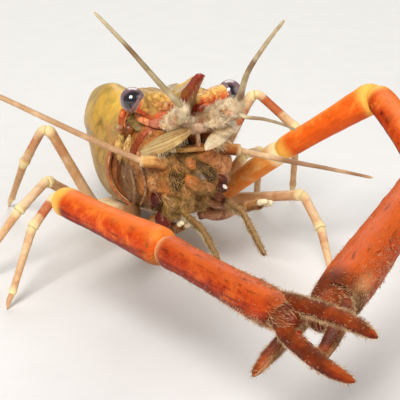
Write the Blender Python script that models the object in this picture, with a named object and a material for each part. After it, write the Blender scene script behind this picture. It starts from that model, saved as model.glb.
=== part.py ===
"""A long-arm river prawn, adult male, life size, rearing up with its claws crossed.

World frame, metres: the prawn faces -Y, its left side is +X, and it stands on z = 0.
Body frame, millimetres: forward, up and left of the eye sockets' middle, tipped nose-up.
The body is lofted from stations, and the limbs are tubes swept along their joints and
parted by thin cuts at each joint.
"""
import math

import bmesh
import bpy
from mathutils import Matrix, Vector

MM = 0.001

# Driving dimensions, millimetres and degrees.
CARAPACE_LENGTH = 20.0      # eye socket to the rear edge
NOSE_UP = 17.0              # pitch of the head and thorax
SOCKET_HEIGHT = 17.0        # of the eye sockets' middle above the floor
GAP = 0.3                   # clear width of the cut between two pieces
LEAST_STEP = 0.12           # closest two rings of a tube may be
LONGEST_STEP = 4.5          # farthest two rings of a tube may be
LIMB_TOP = (0.1, 0.1, 1.0)  # side that a limb's first ring keeps up
ARM_BEND = 1.9              # radius of the round bends at the joints
LEG_BEND = 0.9
FINGER_HOOK = 0.9           # sideways hook of a finger's tip
CORNEA_RADIUS = 1.2
EYE_SPREAD = 4.85           # middle plane to the middle of an eye
FOOT_RADIUS = 0.3           # small flat under each walking leg
CREST = 0.25                # how sharply the back is ridged
LIMB_SIDES = 8
SHELL_SIDES = 22

SIDES = {"left": 1, "right": -1}
ROOT_NAME = "prawn"

# Carapace stations: forward, top, bottom, half width.
CARAPACE_STATIONS = (
    (-CARAPACE_LENGTH, 1.5, -8.6, 5.2),
    (-16.0, 2.0, -9.2, 6.2),
    (-11.0, 2.2, -9.4, 6.8),
    (-6.0, 1.9, -9.4, 6.7),
    (-2.5, 1.6, -9.2, 6.0),
    (0.8, 1.3, -8.6, 4.7),
)
FRONT_SLOPE = 0.36          # the front edge runs back by this much for each mm down
FRONT_SLOPE_LEVEL = 1.3     # height at which the front edge isn't set back

# Mouthparts stations: forward (along the sloping front), top, bottom, half width.
MOUTH_STATIONS = (
    (1.15, -3.9, -9.9, 4.0),
    (3.0, -4.4, -10.2, 3.8),
    (5.2, -5.4, -9.6, 2.8),
    (6.6, -6.6, -8.6, 1.3),
)

# Underside of the thorax: forward, top, bottom, half width.
UNDERSIDE_STATIONS = (
    (-18.0, -9.6, -10.4, 2.2),
    (-12.0, -9.8, -11.0, 2.9),
    (-6.0, -9.8, -11.0, 2.9),
    (-4.6, -9.8, -10.8, 2.4),
)

# Rostrum: forward, upper edge, lower edge, half thickness.
ROSTRUM_STATIONS = (
    (1.1, 1.5, -0.8, 0.55),
    (4.0, 1.6, -1.0, 0.45),
    (7.5, 1.7, -0.3, 0.36),
    (9.4, 1.75, 0.4, 0.36),
    (10.8, 1.7, 0.85, 0.3),
    (11.4, 1.55, 1.15, 0.22),
)
ROSTRUM_TEETH = 9
TOOTH_HEIGHT = 0.35

# Abdomen: name, length, droop and turn (to its left) of the run to the tail, then depth
# and half width at its rear.
ABDOMEN = (
    ("somite_1", 4.4, 14.0, 6.0, 9.9, 5.2),
    ("somite_2", 5.6, 12.0, 14.0, 10.0, 5.2),
    ("somite_3", 6.8, 7.0, 20.0, 9.2, 4.7),
    ("somite_4", 5.0, 8.0, 24.0, 8.0, 4.1),
    ("somite_5", 4.4, 9.0, 26.0, 6.8, 3.5),
    ("somite_6", 6.8, 11.0, 27.0, 4.4, 2.5),
)
ABDOMEN_FRONT = (10.2, 4.9)     # depth and half width where it leaves the carapace
ABDOMEN_ROOT = (-CARAPACE_LENGTH - GAP, -3.1)   # forward and up
TELSON_LENGTH = 9.5
TELSON_TIP_HEIGHT = 2.0
TAIL_FAN = (                    # name, splay, length, half width, height of its middle
    ("uropod_outer", 34.0, 8.8, 2.1, 0.29),
    ("uropod_inner", 13.0, 8.2, 1.6, 1.2),
)
PLATE_HALF_THICKNESS = 0.3

# Limb routes: (length, heading from straight ahead towards its own side, rise), degrees.
# Big second legs: root in the body frame, then each section with its half widths.
ARM_ROOT = (-6.3, -10.5, 3.9)
ARMS = {
    "right": (
        ("ischium", 7.9, 16, 9, 0.85, 1.05),
        ("merus", 13.3, 42, 29, 1.0, 1.25),
        ("carpus", 15.4, -20, 2, 1.25, 1.5),
        ("palm", 15.8, -15.6, 2.3, 1.22, 1.36),
    ),
    "left": (
        ("ischium", 10.9, 40, 40, 0.95, 1.1),
        ("merus", 11.2, 55, 35, 1.1, 1.42),
        ("carpus", 14.0, -2, -11, 1.3, 1.65),
        ("palm", 20.5, -45, -13, 1.75, 2.05),
    ),
}
FINGERS = {                     # length, half opening, roll of the opening, half width
    "right": (9.7, 9.9, -34.6, 0.62),
    "left": (9.1, 13.6, 112.5, 0.78),
}

# Walking legs: root, half widths of hip and shank, hip, thigh, knee piece, shank heading.
LEG_ROOTS = {"leg_3": (-9.8, -10.3, 3.2), "leg_4": (-12.6, -10.3, 3.2), "leg_5": (-15.4, -10.2, 2.9)}
HIP = 3.0
LEG_POSES = {
    ("leg_3", "right"): ((70, 4), (10.5, 43, 25), (3.6, 60, -40), (46, -57)),
    ("leg_4", "right"): ((85, 0), (9.5, 50, 34), (4.4, 57, -29), (75, -48)),
    ("leg_5", "right"): ((95, -4), (11.4, 72, 62), (6.2, 148, -55), (175, -44)),
    ("leg_3", "left"): ((75, 2), (11.2, 31, 16), (4.1, 12, -36), (-2, -42)),
    ("leg_4", "left"): ((85, 2), (6.6, 38, 54), (3.6, 135, -10), (165, -55)),
    ("leg_5", "left"): ((95, -2), (12.9, 71, 65), (6.0, 56, -39), (163, -54)),
}
THIGH_WIDTHS = (0.62, 0.5)
SHANK_WIDTHS = (0.48, 0.3)

# First legs, slender with small claws folded to the mouth, and third maxillipeds.
FIRST_LEG_ROOT = (-4.6, -11.4, 2.3)
FIRST_LEGS = {
    "right": ((2.4, -22, -4), (2.4, -10, 17), (2.4, -9, 31)),
    "left": ((3.4, 78, 8), (5.3, 3, 22), (3.5, 18, 24)),
}
MAXILLIPED_ROOTS = {"right": (1.0, -10.3, 1.0), "left": (1.0, -9.8, 3.4)}
MAXILLIPEDS = {
    "right": ((7.1, -3, 3), (6.5, 5, -1)),
    "left": ((7.9, -3, 10), (6.3, 0, -15)),
}

# Feelers: root in the body frame, then (length, heading, rise) stretches.
ANTENNULE_ROUTES = {
    "right": ((2.6, -1.9, 1.5), (5.6, -1.9, 2.0), (9.0, -1.2, 1.9)),
    "left": ((2.6, -1.9, 1.5), (5.6, -1.9, 2.4), (8.6, -1.1, 3.2)),
}
UPPER_FLAGELLA = {
    "right": ((4.7, 62, 46), (5.4, 56, 45), (4.5, 67, 46)),
    "left": ((5.5, -8, 44), (4.7, 7, 44), (3.8, 19, 46)),
}
LOWER_FLAGELLA = {
    "right": ((2.7, -5, 25), (3.5, 20, 11)),
    "left": ((1.8, 56, -2), (2.7, 119, -22), (2.5, 123, -26)),
}
ANTENNA_ENDS = {"right": (4.2, -5.3, 5.1), "left": (5.0, -5.2, 4.3)}
ANTENNA_FLAGELLA = {
    "right": ((5.2, 91, 28), (5.0, 89, 30), (4.9, 103, 27), (7.0, 112, 22), (8.0, 128, 12),
              (8.0, 142, 0), (9.0, 154, -10), (9.0, 163, -14), (9.0, 170, -12)),
    "left": ((5.5, 31, 3), (4.9, 34, 3), (4.6, 32, 3)),
}
SCALE_POSES = {"right": (-22, 10), "left": (-24, 6)}


def body_point(forward, up, left):
    """World point, metres, of a place given in the body frame in millimetres."""
    pitch = math.radians(NOSE_UP)
    ahead = Vector((0, -math.cos(pitch), math.sin(pitch)))
    dorsal = Vector((0, math.sin(pitch), math.cos(pitch)))
    socket = Vector((left, 0, SOCKET_HEIGHT))
    return (socket + ahead * forward + dorsal * up) * MM


def direction(heading, rise, side=1):
    """Unit vector turned `heading` from straight ahead towards `side`, raised by `rise`."""
    turn = math.radians(heading)
    lift = math.radians(rise)
    return Vector((side * math.sin(turn) * math.cos(lift), -math.cos(turn) * math.cos(lift), math.sin(lift)))


def station_at(stations, place):
    """Smooth value of a station table at `place`, its first column."""
    last = len(stations) - 2
    index = 0
    while index < last and place > stations[index + 1][0]:
        index += 1
    before = stations[max(index - 1, 0)]
    start = stations[index]
    end = stations[index + 1]
    after = stations[min(index + 2, last + 1)]
    span = end[0] - start[0]
    t = (place - start[0]) / span
    values = []
    for column in range(1, len(start)):
        slope_in = (end[column] - before[column]) / (end[0] - before[0]) * span
        slope_out = (after[column] - start[column]) / (after[0] - start[0]) * span
        values.append(
            (2 * t**3 - 3 * t**2 + 1) * start[column] + (t**3 - 2 * t**2 + t) * slope_in
            + (3 * t**2 - 2 * t**3) * end[column] + (t**3 - t**2) * slope_out
        )
    return values


def colour_material(name, colour, roughness):
    """Principled material in a plain colour."""
    material = bpy.data.materials.new(name)
    material.use_nodes = True
    shader = material.node_tree.nodes["Principled BSDF"]
    shader.inputs["Base Color"].default_value = (*colour, 1.0)
    shader.inputs["Roughness"].default_value = roughness
    material.diffuse_color = (*colour, 1.0)
    return material


def add_loft(name, rings, material):
    """Closed solid through rings of points, capped at both ends."""
    mesh = bpy.data.meshes.new(name)
    shape = bmesh.new()
    loops = [[shape.verts.new(point) for point in ring] for ring in rings]
    for ring, following in zip(loops, loops[1:]):
        for here, vert in enumerate(ring):
            ahead = (here + 1) % len(ring)
            shape.faces.new((vert, ring[ahead], following[ahead], following[here]))
    shape.faces.new(reversed(loops[0]))
    shape.faces.new(loops[-1])
    bmesh.ops.recalc_face_normals(shape, faces=shape.faces)
    shape.to_mesh(mesh)
    shape.free()
    mesh.shade_smooth()
    mesh.set_sharp_from_angle(angle=math.radians(40))
    mesh.materials.append(material)
    piece = bpy.data.objects.new(name, mesh)
    piece.parent = bpy.data.objects[ROOT_NAME]
    bpy.context.scene.collection.objects.link(piece)
    return piece


def oval(half_width, top, bottom, sides, boxy=0.0, crest=0.0):
    """Points (across, up) round a section, fuller below with `boxy`, ridged above with `crest`."""
    middle = (top + bottom) / 2
    half_height = (top - bottom) / 2
    points = []
    for step in range(sides):
        angle = 2 * math.pi * step / sides
        across = math.cos(angle)
        up = math.sin(angle)
        if up < 0:
            power = 1 - boxy
            across = math.copysign(abs(across) ** power, across)
            up = math.copysign(abs(up) ** power, up)
        else:
            across = math.copysign(abs(across) ** (1 + crest), across)
        points.append((half_width * across, middle + half_height * up))
    return points


def loft_in_body(name, stations, steps, sides, material, slope_start=None, boxy=0.25, crest=0.0):
    """Loft along the body from a station table; the front leans back from `slope_start` on."""
    first = stations[0][0]
    last = stations[-1][0]
    rings = []
    for step in range(steps + 1):
        forward = first + (last - first) * step / steps
        top, bottom, half_width = station_at(stations, forward)
        slope = 0.0
        if slope_start is not None:
            slope = FRONT_SLOPE * min(1.0, max(0.0, (forward - slope_start) / (CARAPACE_LENGTH / 2)))
        rings.append([
            body_point(forward + slope * (up - FRONT_SLOPE_LEVEL), up, across)
            for across, up in oval(half_width, top, bottom, sides, boxy, crest)
        ])
    return add_loft(name, rings, material)


def sweep_rings(centres, halves, up, sides, end_axes=None):
    """Oval rings square to a route, carried along it without twist.

    `halves` holds (half width, half depth) in millimetres, and `end_axes` the directions
    that the first and last rings face.
    """
    rings = []
    level = Vector(up)
    last = len(centres) - 1
    for index, centre in enumerate(centres):
        ahead = centres[min(index + 1, last)]
        behind = centres[max(index - 1, 0)]
        axis = (ahead - behind).normalized()
        if end_axes and index in (0, last):
            axis = end_axes[0] if index == 0 else end_axes[1]
        level = (level - axis * level.dot(axis)).normalized()
        across = axis.cross(level)
        half_width, half_depth = halves[index]
        ring = []
        for step in range(sides):
            angle = 2 * math.pi * (step + 0.5) / sides
            out = across * (half_width * MM * math.cos(angle))
            ring.append(centre + out + level * (half_depth * MM * math.sin(angle)))
        rings.append(ring)
    return rings


def bend_points(before, joint, after, bend_radius, steps):
    """Points of a round bend at `joint`, from one straight run into the next."""
    back = (before - joint).normalized()
    on = (after - joint).normalized()
    turn = math.pi - back.angle(on)
    reach = (before - joint).length
    reach = min(reach, (after - joint).length) * 0.45
    set_back = min(bend_radius * MM * math.tan(turn / 2), reach)
    start = joint + back * set_back
    end = joint + on * set_back
    points = []
    for step in range(steps + 1):
        t = step / steps
        points.append(start * (1 - t) ** 2 + joint * (2 * t * (1 - t)) + end * t**2)
    return points


def cut_start(before, joint, after, bend_radius):
    """Second half of a round bend, starting half a cut after its middle."""
    points = bend_points(before, joint, after, bend_radius, 4)[2:]
    along = (points[-1] - points[0]).normalized()
    start = points[0] + along * (GAP / 2 * MM)
    return [start] + [point for point in points[1:] if (point - start).dot(along) > LEAST_STEP * MM]


def cut_end(before, joint, after, bend_radius):
    """First half of a round bend, ending half a cut before its middle."""
    return cut_start(after, joint, before, bend_radius)[::-1]


def piece_route(joints, first, last, bend_radius):
    """Centre line from joint `first` to joint `last`, bent smoothly at those between them."""
    points = []
    if first > 0:
        points += cut_start(*joints[first - 1:first + 2], bend_radius)
    else:
        points.append(joints[0])
    for index in range(first + 1, last):
        points += bend_points(*joints[index - 1:index + 2], bend_radius, 4)
    if last < len(joints) - 1:
        points += cut_end(*joints[last - 1:last + 2], bend_radius)
    else:
        points.append(joints[-1])
    route = [points[0]]
    for point in points[1:-1]:
        clear = min((point - route[-1]).length, (point - points[-1]).length)
        if clear > LEAST_STEP * MM:
            route.append(point)
    route.append(points[-1])
    return subdivided(route, LONGEST_STEP)


def cut_axis(joints, index):
    """Direction square to the cut at a joint; along the limb at its root and tip."""
    before = joints[max(index - 1, 0)]
    after = joints[min(index + 1, len(joints) - 1)]
    here = joints[index]
    return ((here - before).normalized() + (after - here).normalized()).normalized()


def subdivided(points, longest):
    """Route with its straight stretches cut to runs of at most `longest` millimetres."""
    result = [points[0]]
    for start, end in zip(points, points[1:]):
        parts = max(1, math.ceil((end - start).length / (longest * MM)))
        for part in range(1, parts + 1):
            result.append(start.lerp(end, part / parts))
    return result


def taper(points, start_half, end_half, waist=0.8, swell=0.06):
    """Half widths along a shell section: a narrow lip at both ends and a slight swell."""
    lengths = [0.0]
    for start, end in zip(points, points[1:]):
        lengths.append(lengths[-1] + (end - start).length)
    halves = []
    for index, length in enumerate(lengths):
        t = length / lengths[-1]
        half = start_half + (end_half - start_half) * t
        half *= 1 + swell * math.sin(math.pi * t)
        if index in (0, len(points) - 1):
            half *= waist
        halves.append((half, half))
    return halves


def add_piece(name, joints, first, last, widths, material, bend_radius, foot=False):
    """One shell piece of a limb, as a tube between two of its joints.

    `widths` are its half widths at both ends.  A `foot` ends in a small flat on the floor.
    """
    route = piece_route(joints, first, last, bend_radius)
    start_lip = 0.5 * widths[0] * MM / (route[1] - route[0]).length
    end_lip = (1.3 if foot else 0.5) * widths[1] * MM / (route[-2] - route[-1]).length
    route.insert(1, route[0].lerp(route[1], min(0.5, start_lip)))
    route.insert(-1, route[-1].lerp(route[-2], min(0.5, end_lip)))
    halves = taper(route, *widths)
    axes = [cut_axis(joints, first), cut_axis(joints, last)]
    if foot:
        halves[-1] = (FOOT_RADIUS, FOOT_RADIUS)
        axes[1] = Vector((0, 0, -1))
    return add_loft(name, sweep_rings(route, halves, LIMB_TOP, LIMB_SIDES, axes), material)


def joint_chain(start, stretches, side):
    """Joint positions from a start point and (length, heading, rise) stretches."""
    joints = [start]
    for length, heading, rise in stretches:
        joints.append(joints[-1] + direction(heading, rise, side) * (length * MM))
    return joints


def add_carapace(material):
    loft_in_body("carapace", CARAPACE_STATIONS, 14, SHELL_SIDES, material, slope_start=-9.0, crest=-0.2)


def add_underside(material):
    loft_in_body("thorax_underside", UNDERSIDE_STATIONS, 6, 12, material)


def add_mouthparts(material):
    loft_in_body("mouthparts", MOUTH_STATIONS, 6, 16, material, slope_start=-9.0, boxy=0.1)


def add_rostrum(material):
    """Saw-edged blade: each tooth rises slowly and drops at its tip."""
    first = ROSTRUM_STATIONS[0][0]
    last = ROSTRUM_STATIONS[-1][0]
    pitch = (last - first) / (ROSTRUM_TEETH + 1)
    places = [(first, 0.0)]
    for tooth in range(ROSTRUM_TEETH):
        tip = first + pitch * (tooth + 1)
        places += [(tip - 0.12 * pitch, TOOTH_HEIGHT), (tip, 0.0)]
    places.append((last, 0.0))
    rings = []
    for forward, tooth in places:
        top, bottom, half = station_at(ROSTRUM_STATIONS, forward)
        middle = (top + bottom) / 2
        outline = (
            (0.0, top + tooth), (half * 0.5, top - 0.15), (half, middle), (half * 0.4, bottom + 0.12),
            (0.0, bottom), (-half * 0.4, bottom + 0.12), (-half, middle), (-half * 0.5, top - 0.15),
        )
        rings.append([body_point(forward, up, across) for across, up in outline])
    add_loft("rostrum", rings, material)


def add_eyes(stalk_material, eye_material):
    """Eyes on short stalks that stand out sideways from under the rostrum."""
    for side_name, side in SIDES.items():
        eye = body_point(1.3, 0.3, side * EYE_SPREAD)
        root = body_point(2.5, -0.2, side * 1.3)
        reach = CORNEA_RADIUS + GAP
        along = (eye - root).normalized()
        end = eye - along * (reach * MM)
        route = [root, root.lerp(end, 0.3), root.lerp(end, 0.7), end - along * (0.1 * MM), end]
        halves = [(0.75, 0.75), (0.95, 0.95), (1.05, 1.1), (1.05, 1.1), (0.8, 0.85)]
        add_loft(f"eye_stalk_{side_name}", sweep_rings(route, halves, (0, 0, 1), 12), stalk_material)
        mesh = bpy.data.meshes.new(f"eye_{side_name}")
        shape = bmesh.new()
        bmesh.ops.create_uvsphere(shape, u_segments=14, v_segments=9, radius=CORNEA_RADIUS * MM)
        shape.to_mesh(mesh)
        shape.free()
        mesh.shade_smooth()
        mesh.materials.append(eye_material)
        ball = bpy.data.objects.new(f"eye_{side_name}", mesh)
        ball.parent = bpy.data.objects[ROOT_NAME]
        ball.location = eye
        bpy.context.scene.collection.objects.link(ball)


def add_feeler(name, points, start_half, end_half, material):
    """Thin tapering whip along smooth points."""
    route = smooth_route(points, 3)
    count = len(route) - 1
    halves = []
    for index in range(count + 1):
        half = start_half + (end_half - start_half) * index / count
        halves.append((half, half))
    return add_loft(name, sweep_rings(route, halves, (0.2, 0.3, 1), 6), material)


def smooth_route(points, steps):
    """Catmull-Rom curve through a route's points."""
    result = []
    last = len(points) - 1
    for index in range(last):
        before = points[max(index - 1, 0)]
        start = points[index]
        end = points[index + 1]
        after = points[min(index + 2, last)]
        for step in range(steps):
            t = step / steps
            result.append(
                0.5 * (2 * start + (end - before) * t + (2 * before - 5 * start + 4 * end - after) * t**2
                       + (3 * start - before - 3 * end + after) * t**3)
            )
    result.append(points[-1])
    return result


def add_antennules(peduncle_material, flagellum_material):
    """First feelers: a three-part base and two whips on each side."""
    for side_name, side in SIDES.items():
        route = [body_point(forward, up, side * left) for forward, up, left in ANTENNULE_ROUTES[side_name]]
        route = smooth_route(route, 3)
        halves = [(1.0 - 0.35 * index / (len(route) - 1), 0.8 - 0.2 * index / (len(route) - 1))
                  for index in range(len(route))]
        add_loft(f"antennule_{side_name}", sweep_rings(route, halves, (0, 0, 1), 10), peduncle_material)
        end = route[-1]
        upper = end + Vector((side * 0.05, -0.55, 0.35)) * MM
        joints = joint_chain(upper, UPPER_FLAGELLA[side_name], side)
        add_feeler(f"antennule_whip_upper_{side_name}", joints, 0.48, 0.25, flagellum_material)
        lower = end + Vector((side * 0.5, -0.6, -0.8)) * MM
        joints = joint_chain(lower, LOWER_FLAGELLA[side_name], side)
        add_feeler(f"antennule_whip_lower_{side_name}", joints, 0.3, 0.25, flagellum_material)


def add_antennae(base_material, scale_material, flagellum_material):
    """Second feelers: a base, a flat scale and a long whip on each side."""
    for side_name, side in SIDES.items():
        forward, up, left = ANTENNA_ENDS[side_name]
        root = body_point(0.4, -4.6, side * 4.9)
        elbow = body_point(2.2, -5.1, side * 4.9)
        route = smooth_route([root, elbow, body_point(forward, up, side * left)], 3)
        halves = [(0.85 - 0.3 * index / (len(route) - 1),) * 2 for index in range(len(route))]
        add_loft(f"antenna_{side_name}", sweep_rings(route, halves, (0, 0, 1), 10), base_material)

        joints = joint_chain(route[-1], ANTENNA_FLAGELLA[side_name], side)
        along = (joints[1] - joints[0]).normalized()
        joints[0] = joints[0] + along * (0.85 * MM)
        if side_name == "right":
            middle = 4
            near = joints[:middle + 1]
            far = joints[middle:]
            near[-1] = near[-1] + (near[-2] - near[-1]).normalized() * (GAP * MM)
            add_feeler("antenna_whip_right_near", near, 0.4, 0.34, flagellum_material)
            add_feeler("antenna_whip_right_far", far, 0.34, 0.25, flagellum_material)
        else:
            add_feeler("antenna_whip_left", joints, 0.42, 0.25, flagellum_material)

        heading, rise = SCALE_POSES[side_name]
        root = body_point(2.3, -3.2, side * 5.0)
        reach = direction(heading, rise, side) * (8.6 * MM)
        plate_route = [root + reach * t for t in (0, 0.15, 0.4, 0.7, 0.92, 1)]
        widths = (0.7, 1.3, 1.75, 1.6, 1.0, 0.4)
        halves = [(width, PLATE_HALF_THICKNESS) for width in widths]
        dorsal = body_point(0, 1, 0) - body_point(0, 0, 0)
        tilt = Matrix.Rotation(math.radians(side * 35), 3, direction(heading, rise, side))
        add_loft(
            f"antennal_scale_{side_name}", sweep_rings(plate_route, halves, tilt @ dorsal, 10), scale_material
        )


def add_small_limbs(material):
    """First legs with their small claws, and the third maxillipeds below the mouth."""
    for side_name, side in SIDES.items():
        forward, up, left = FIRST_LEG_ROOT
        joints = joint_chain(body_point(forward, up, side * left), FIRST_LEGS[side_name], side)
        add_piece(f"leg_1_{side_name}_upper", joints, 0, 1, (0.55, 0.5), material, 0.8)
        add_piece(f"leg_1_{side_name}_lower", joints, 1, 3, (0.45, 0.35), material, 0.8)
        forward, up, left = MAXILLIPED_ROOTS[side_name]
        joints = joint_chain(body_point(forward, up, side * left), MAXILLIPEDS[side_name], side)
        add_piece(f"maxilliped_3_{side_name}", joints, 0, 2, (0.5, 0.36), material, 2.0)


def add_arms(material):
    """The two great claw-bearing second legs."""
    for side_name, side in SIDES.items():
        sections = ARMS[side_name]
        forward, up, left = ARM_ROOT
        stretches = [section[1:4] for section in sections]
        joints = joint_chain(body_point(forward, up, side * left), stretches, side)
        for index, section in enumerate(sections[:-1]):
            name = f"arm_{side_name}_{section[0]}"
            add_piece(name, joints, index, index + 1, section[4:], material, ARM_BEND)
        add_claw(side_name, side, joints, sections[-1], material)


def finger_route(root, axis, hook, length, half):
    """Centre line and half widths of a tapering finger whose tip hooks towards the other."""
    route = []
    halves = []
    for t, share in ((0.06, 1.0), (0.35, 0.92), (0.65, 0.75), (0.88, 0.5), (1.0, 0.3)):
        route.append(root + axis * (length * t * MM) + hook * (FINGER_HOOK * t**3 * MM))
        halves.append((half * share, half * share))
    return route, halves


def add_claw(side_name, side, joints, palm, material):
    """Palm drawn out into the fixed finger, and the movable finger beside it."""
    _, _, heading, rise, start_half, end_half = palm
    finger_length, opening, roll, finger_half = FINGERS[side_name]
    along = direction(heading, rise, side)
    level = (Vector((0, 0, 1)) - along * along.z).normalized()
    spread = Matrix.Rotation(math.radians(roll), 3, along) @ level
    wrist, knuckle = joints[-2:]
    offset = (end_half - finger_half) * MM
    angle = math.radians(opening)

    route = cut_start(*joints[-3:], ARM_BEND)
    route += [wrist.lerp(knuckle, t) for t in (0.3, 0.6, 0.93)]
    halves = taper(route, start_half, end_half)
    halves[-1] = (end_half, end_half)
    axis = along * math.cos(angle) - spread * math.sin(angle)
    finger, finger_halves = finger_route(knuckle - spread * offset, axis, spread, finger_length, finger_half)
    axes = [cut_axis(joints, len(joints) - 2), axis]
    rings = sweep_rings(route + finger, halves + finger_halves, spread, LIMB_SIDES, axes)
    add_loft(f"arm_{side_name}_palm", rings, material)

    axis = along * math.cos(angle) + spread * math.sin(angle)
    root = knuckle + spread * (offset + 0.12 * MM) + along * (GAP * MM)
    finger, finger_halves = finger_route(root, axis, -spread, finger_length, finger_half)
    rings = sweep_rings([root] + finger, [(finger_half * 0.8,) * 2] + finger_halves, spread, LIMB_SIDES)
    add_loft(f"arm_{side_name}_finger", rings, material)


def add_walking_legs(material):
    """Six walking legs, each as a thigh and a shank that ends in a small flat on the floor."""
    for (leg_name, side_name), pose in LEG_POSES.items():
        side = SIDES[side_name]
        hip_pose, thigh, knee_piece, shank = pose
        forward, up, left = LEG_ROOTS[leg_name]
        root = body_point(forward, up, side * left)
        joints = joint_chain(root, ((HIP, *hip_pose), thigh, knee_piece), side)
        down = direction(*shank, side)
        joints.append(joints[-1] + down * (joints[-1].z / -down.z))
        name = f"{leg_name}_{side_name}"
        add_piece(f"{name}_upper", joints, 0, 2, THIGH_WIDTHS, material, LEG_BEND)
        add_piece(f"{name}_lower", joints, 2, 4, SHANK_WIDTHS, material, LEG_BEND, foot=True)


def abdomen_ring(centre, droop, turn, depth, half_width):
    """Ring of an abdomen somite: arched above, fuller below, never under the floor."""
    tilt = math.radians(droop)
    level = Matrix.Rotation(-math.radians(turn), 3, "Z")
    dorsal = level @ Vector((0, math.sin(tilt), math.cos(tilt)))
    side = level @ Vector((1, 0, 0))
    ring = []
    for out, up in oval(half_width, depth / 2, -depth / 2, SHELL_SIDES, 0.3, CREST):
        point = centre + (side * out + dorsal * up) * MM
        point.z = max(point.z, 0.0)
        ring.append(point)
    return ring


def add_abdomen(shell_material, fan_material):
    """Six shell somites, the telson and the tail fan, lying along the floor."""
    centre = body_point(*ABDOMEN_ROOT, 0)
    depth, half_width = ABDOMEN_FRONT
    droop = NOSE_UP
    turn = 0.0
    for index, (name, length, run_droop, run_turn, rear_depth, rear_half) in enumerate(ABDOMEN):
        following = ABDOMEN[min(index + 1, len(ABDOMEN) - 1)]
        rear_droop = (run_droop + following[2]) / 2
        rear_turn = (run_turn + following[3]) / 2
        run = direction(180 - run_turn, -run_droop) * (length * MM)
        rings = []
        for t in (0.0, 0.12, 0.5, 0.88, 1.0):
            swell = 1 + 0.035 * math.sin(math.pi * t)
            step = t * (1 - GAP / length)
            rings.append(abdomen_ring(
                centre + run * step,
                droop + (rear_droop - droop) * t,
                turn + (rear_turn - turn) * t,
                (depth + (rear_depth - depth) * t) * swell,
                (half_width + (rear_half - half_width) * t) * swell,
            ))
        add_loft(name, rings, shell_material)
        centre = centre + run
        depth, half_width, droop, turn = rear_depth, rear_half, rear_droop, rear_turn
    add_tail(centre, turn, fan_material)


def add_tail(centre, turn, material):
    """Telson over four flat uropods."""
    back = direction(180 - turn, 0)
    across = Vector((0, 0, 1)).cross(back) * -1
    root = centre + Vector((0, 0, 0.7 * MM)) + back * (0.1 * MM)
    tip = root + back * (TELSON_LENGTH * MM)
    tip.z = TELSON_TIP_HEIGHT * MM
    route = [root.lerp(tip, t) for t in (0, 0.1, 0.5, 0.9, 1)]
    halves = [(1.3, 0.7), (1.6, 0.8), (1.3, 0.55), (0.75, 0.32), (0.4, 0.25)]
    add_loft("telson", sweep_rings(route, halves, (0, 0, 1), 12), material)
    for side_name, side in SIDES.items():
        for name, splay, length, half, height in TAIL_FAN:
            start = centre + across * (side * 1.5 * MM) + back * (0.6 * MM)
            start.z = height * MM
            run = direction(180 - turn - side * splay, 0) * (length * MM)
            route = [start + run * t for t in (0, 0.12, 0.4, 0.7, 0.92, 1)]
            widths = [half * share for share in (0.4, 0.62, 1.0, 0.98, 0.6, 0.25)]
            halves = [(width, PLATE_HALF_THICKNESS) for width in widths]
            add_loft(f"{name}_{side_name}", sweep_rings(route, halves, (0, 0, 1), 12), material)


def centre_on_floor():
    """Move the root so that the model's box stands centred on the origin."""
    root = bpy.data.objects[ROOT_NAME]
    points = []
    for piece in root.children:
        points += [piece.location + vert.co for vert in piece.data.vertices]
    for axis in (0, 1):
        places = [point[axis] for point in points]
        root.location[axis] = -(min(places) + max(places)) / 2


def main():
    for old in list(bpy.data.objects):
        bpy.data.objects.remove(old, do_unlink=True)
    root = bpy.data.objects.new(ROOT_NAME, None)
    bpy.context.scene.collection.objects.link(root)
    shell = colour_material("shell", (0.62, 0.47, 0.16), 0.35)
    mouth = colour_material("mouth", (0.36, 0.20, 0.08), 0.5)
    rostrum = colour_material("rostrum", (0.62, 0.16, 0.06), 0.35)
    stalk = colour_material("stalk", (0.75, 0.28, 0.08), 0.35)
    cornea = colour_material("cornea", (0.10, 0.06, 0.07), 0.08)
    feeler = colour_material("feeler", (0.55, 0.42, 0.26), 0.45)
    scale = colour_material("scale", (0.80, 0.70, 0.42), 0.35)
    arm = colour_material("arm", (0.80, 0.20, 0.05), 0.35)
    leg = colour_material("leg", (0.72, 0.42, 0.26), 0.4)

    add_carapace(shell)
    add_underside(mouth)
    add_mouthparts(mouth)
    add_rostrum(rostrum)
    add_eyes(stalk, cornea)
    add_antennules(scale, feeler)
    add_antennae(mouth, scale, feeler)
    add_small_limbs(mouth)
    add_arms(arm)
    add_walking_legs(leg)
    add_abdomen(shell, scale)
    centre_on_floor()


main()
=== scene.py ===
"""The visible model of a long-arm river prawn, life size, on the packed frame.

World frame, metres: the prawn faces -Y, its left side is +X, and it stands on z = 0.
Body frame, millimetres: forward, up and left of the middle of the eye sockets.
The limb routes repeat the solids' own, so each piece lies where its solid is.
"""
import math

import bpy
from bpy.props import FloatProperty, FloatVectorProperty, PointerProperty
from mathutils import Matrix, Vector, noise


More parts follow.
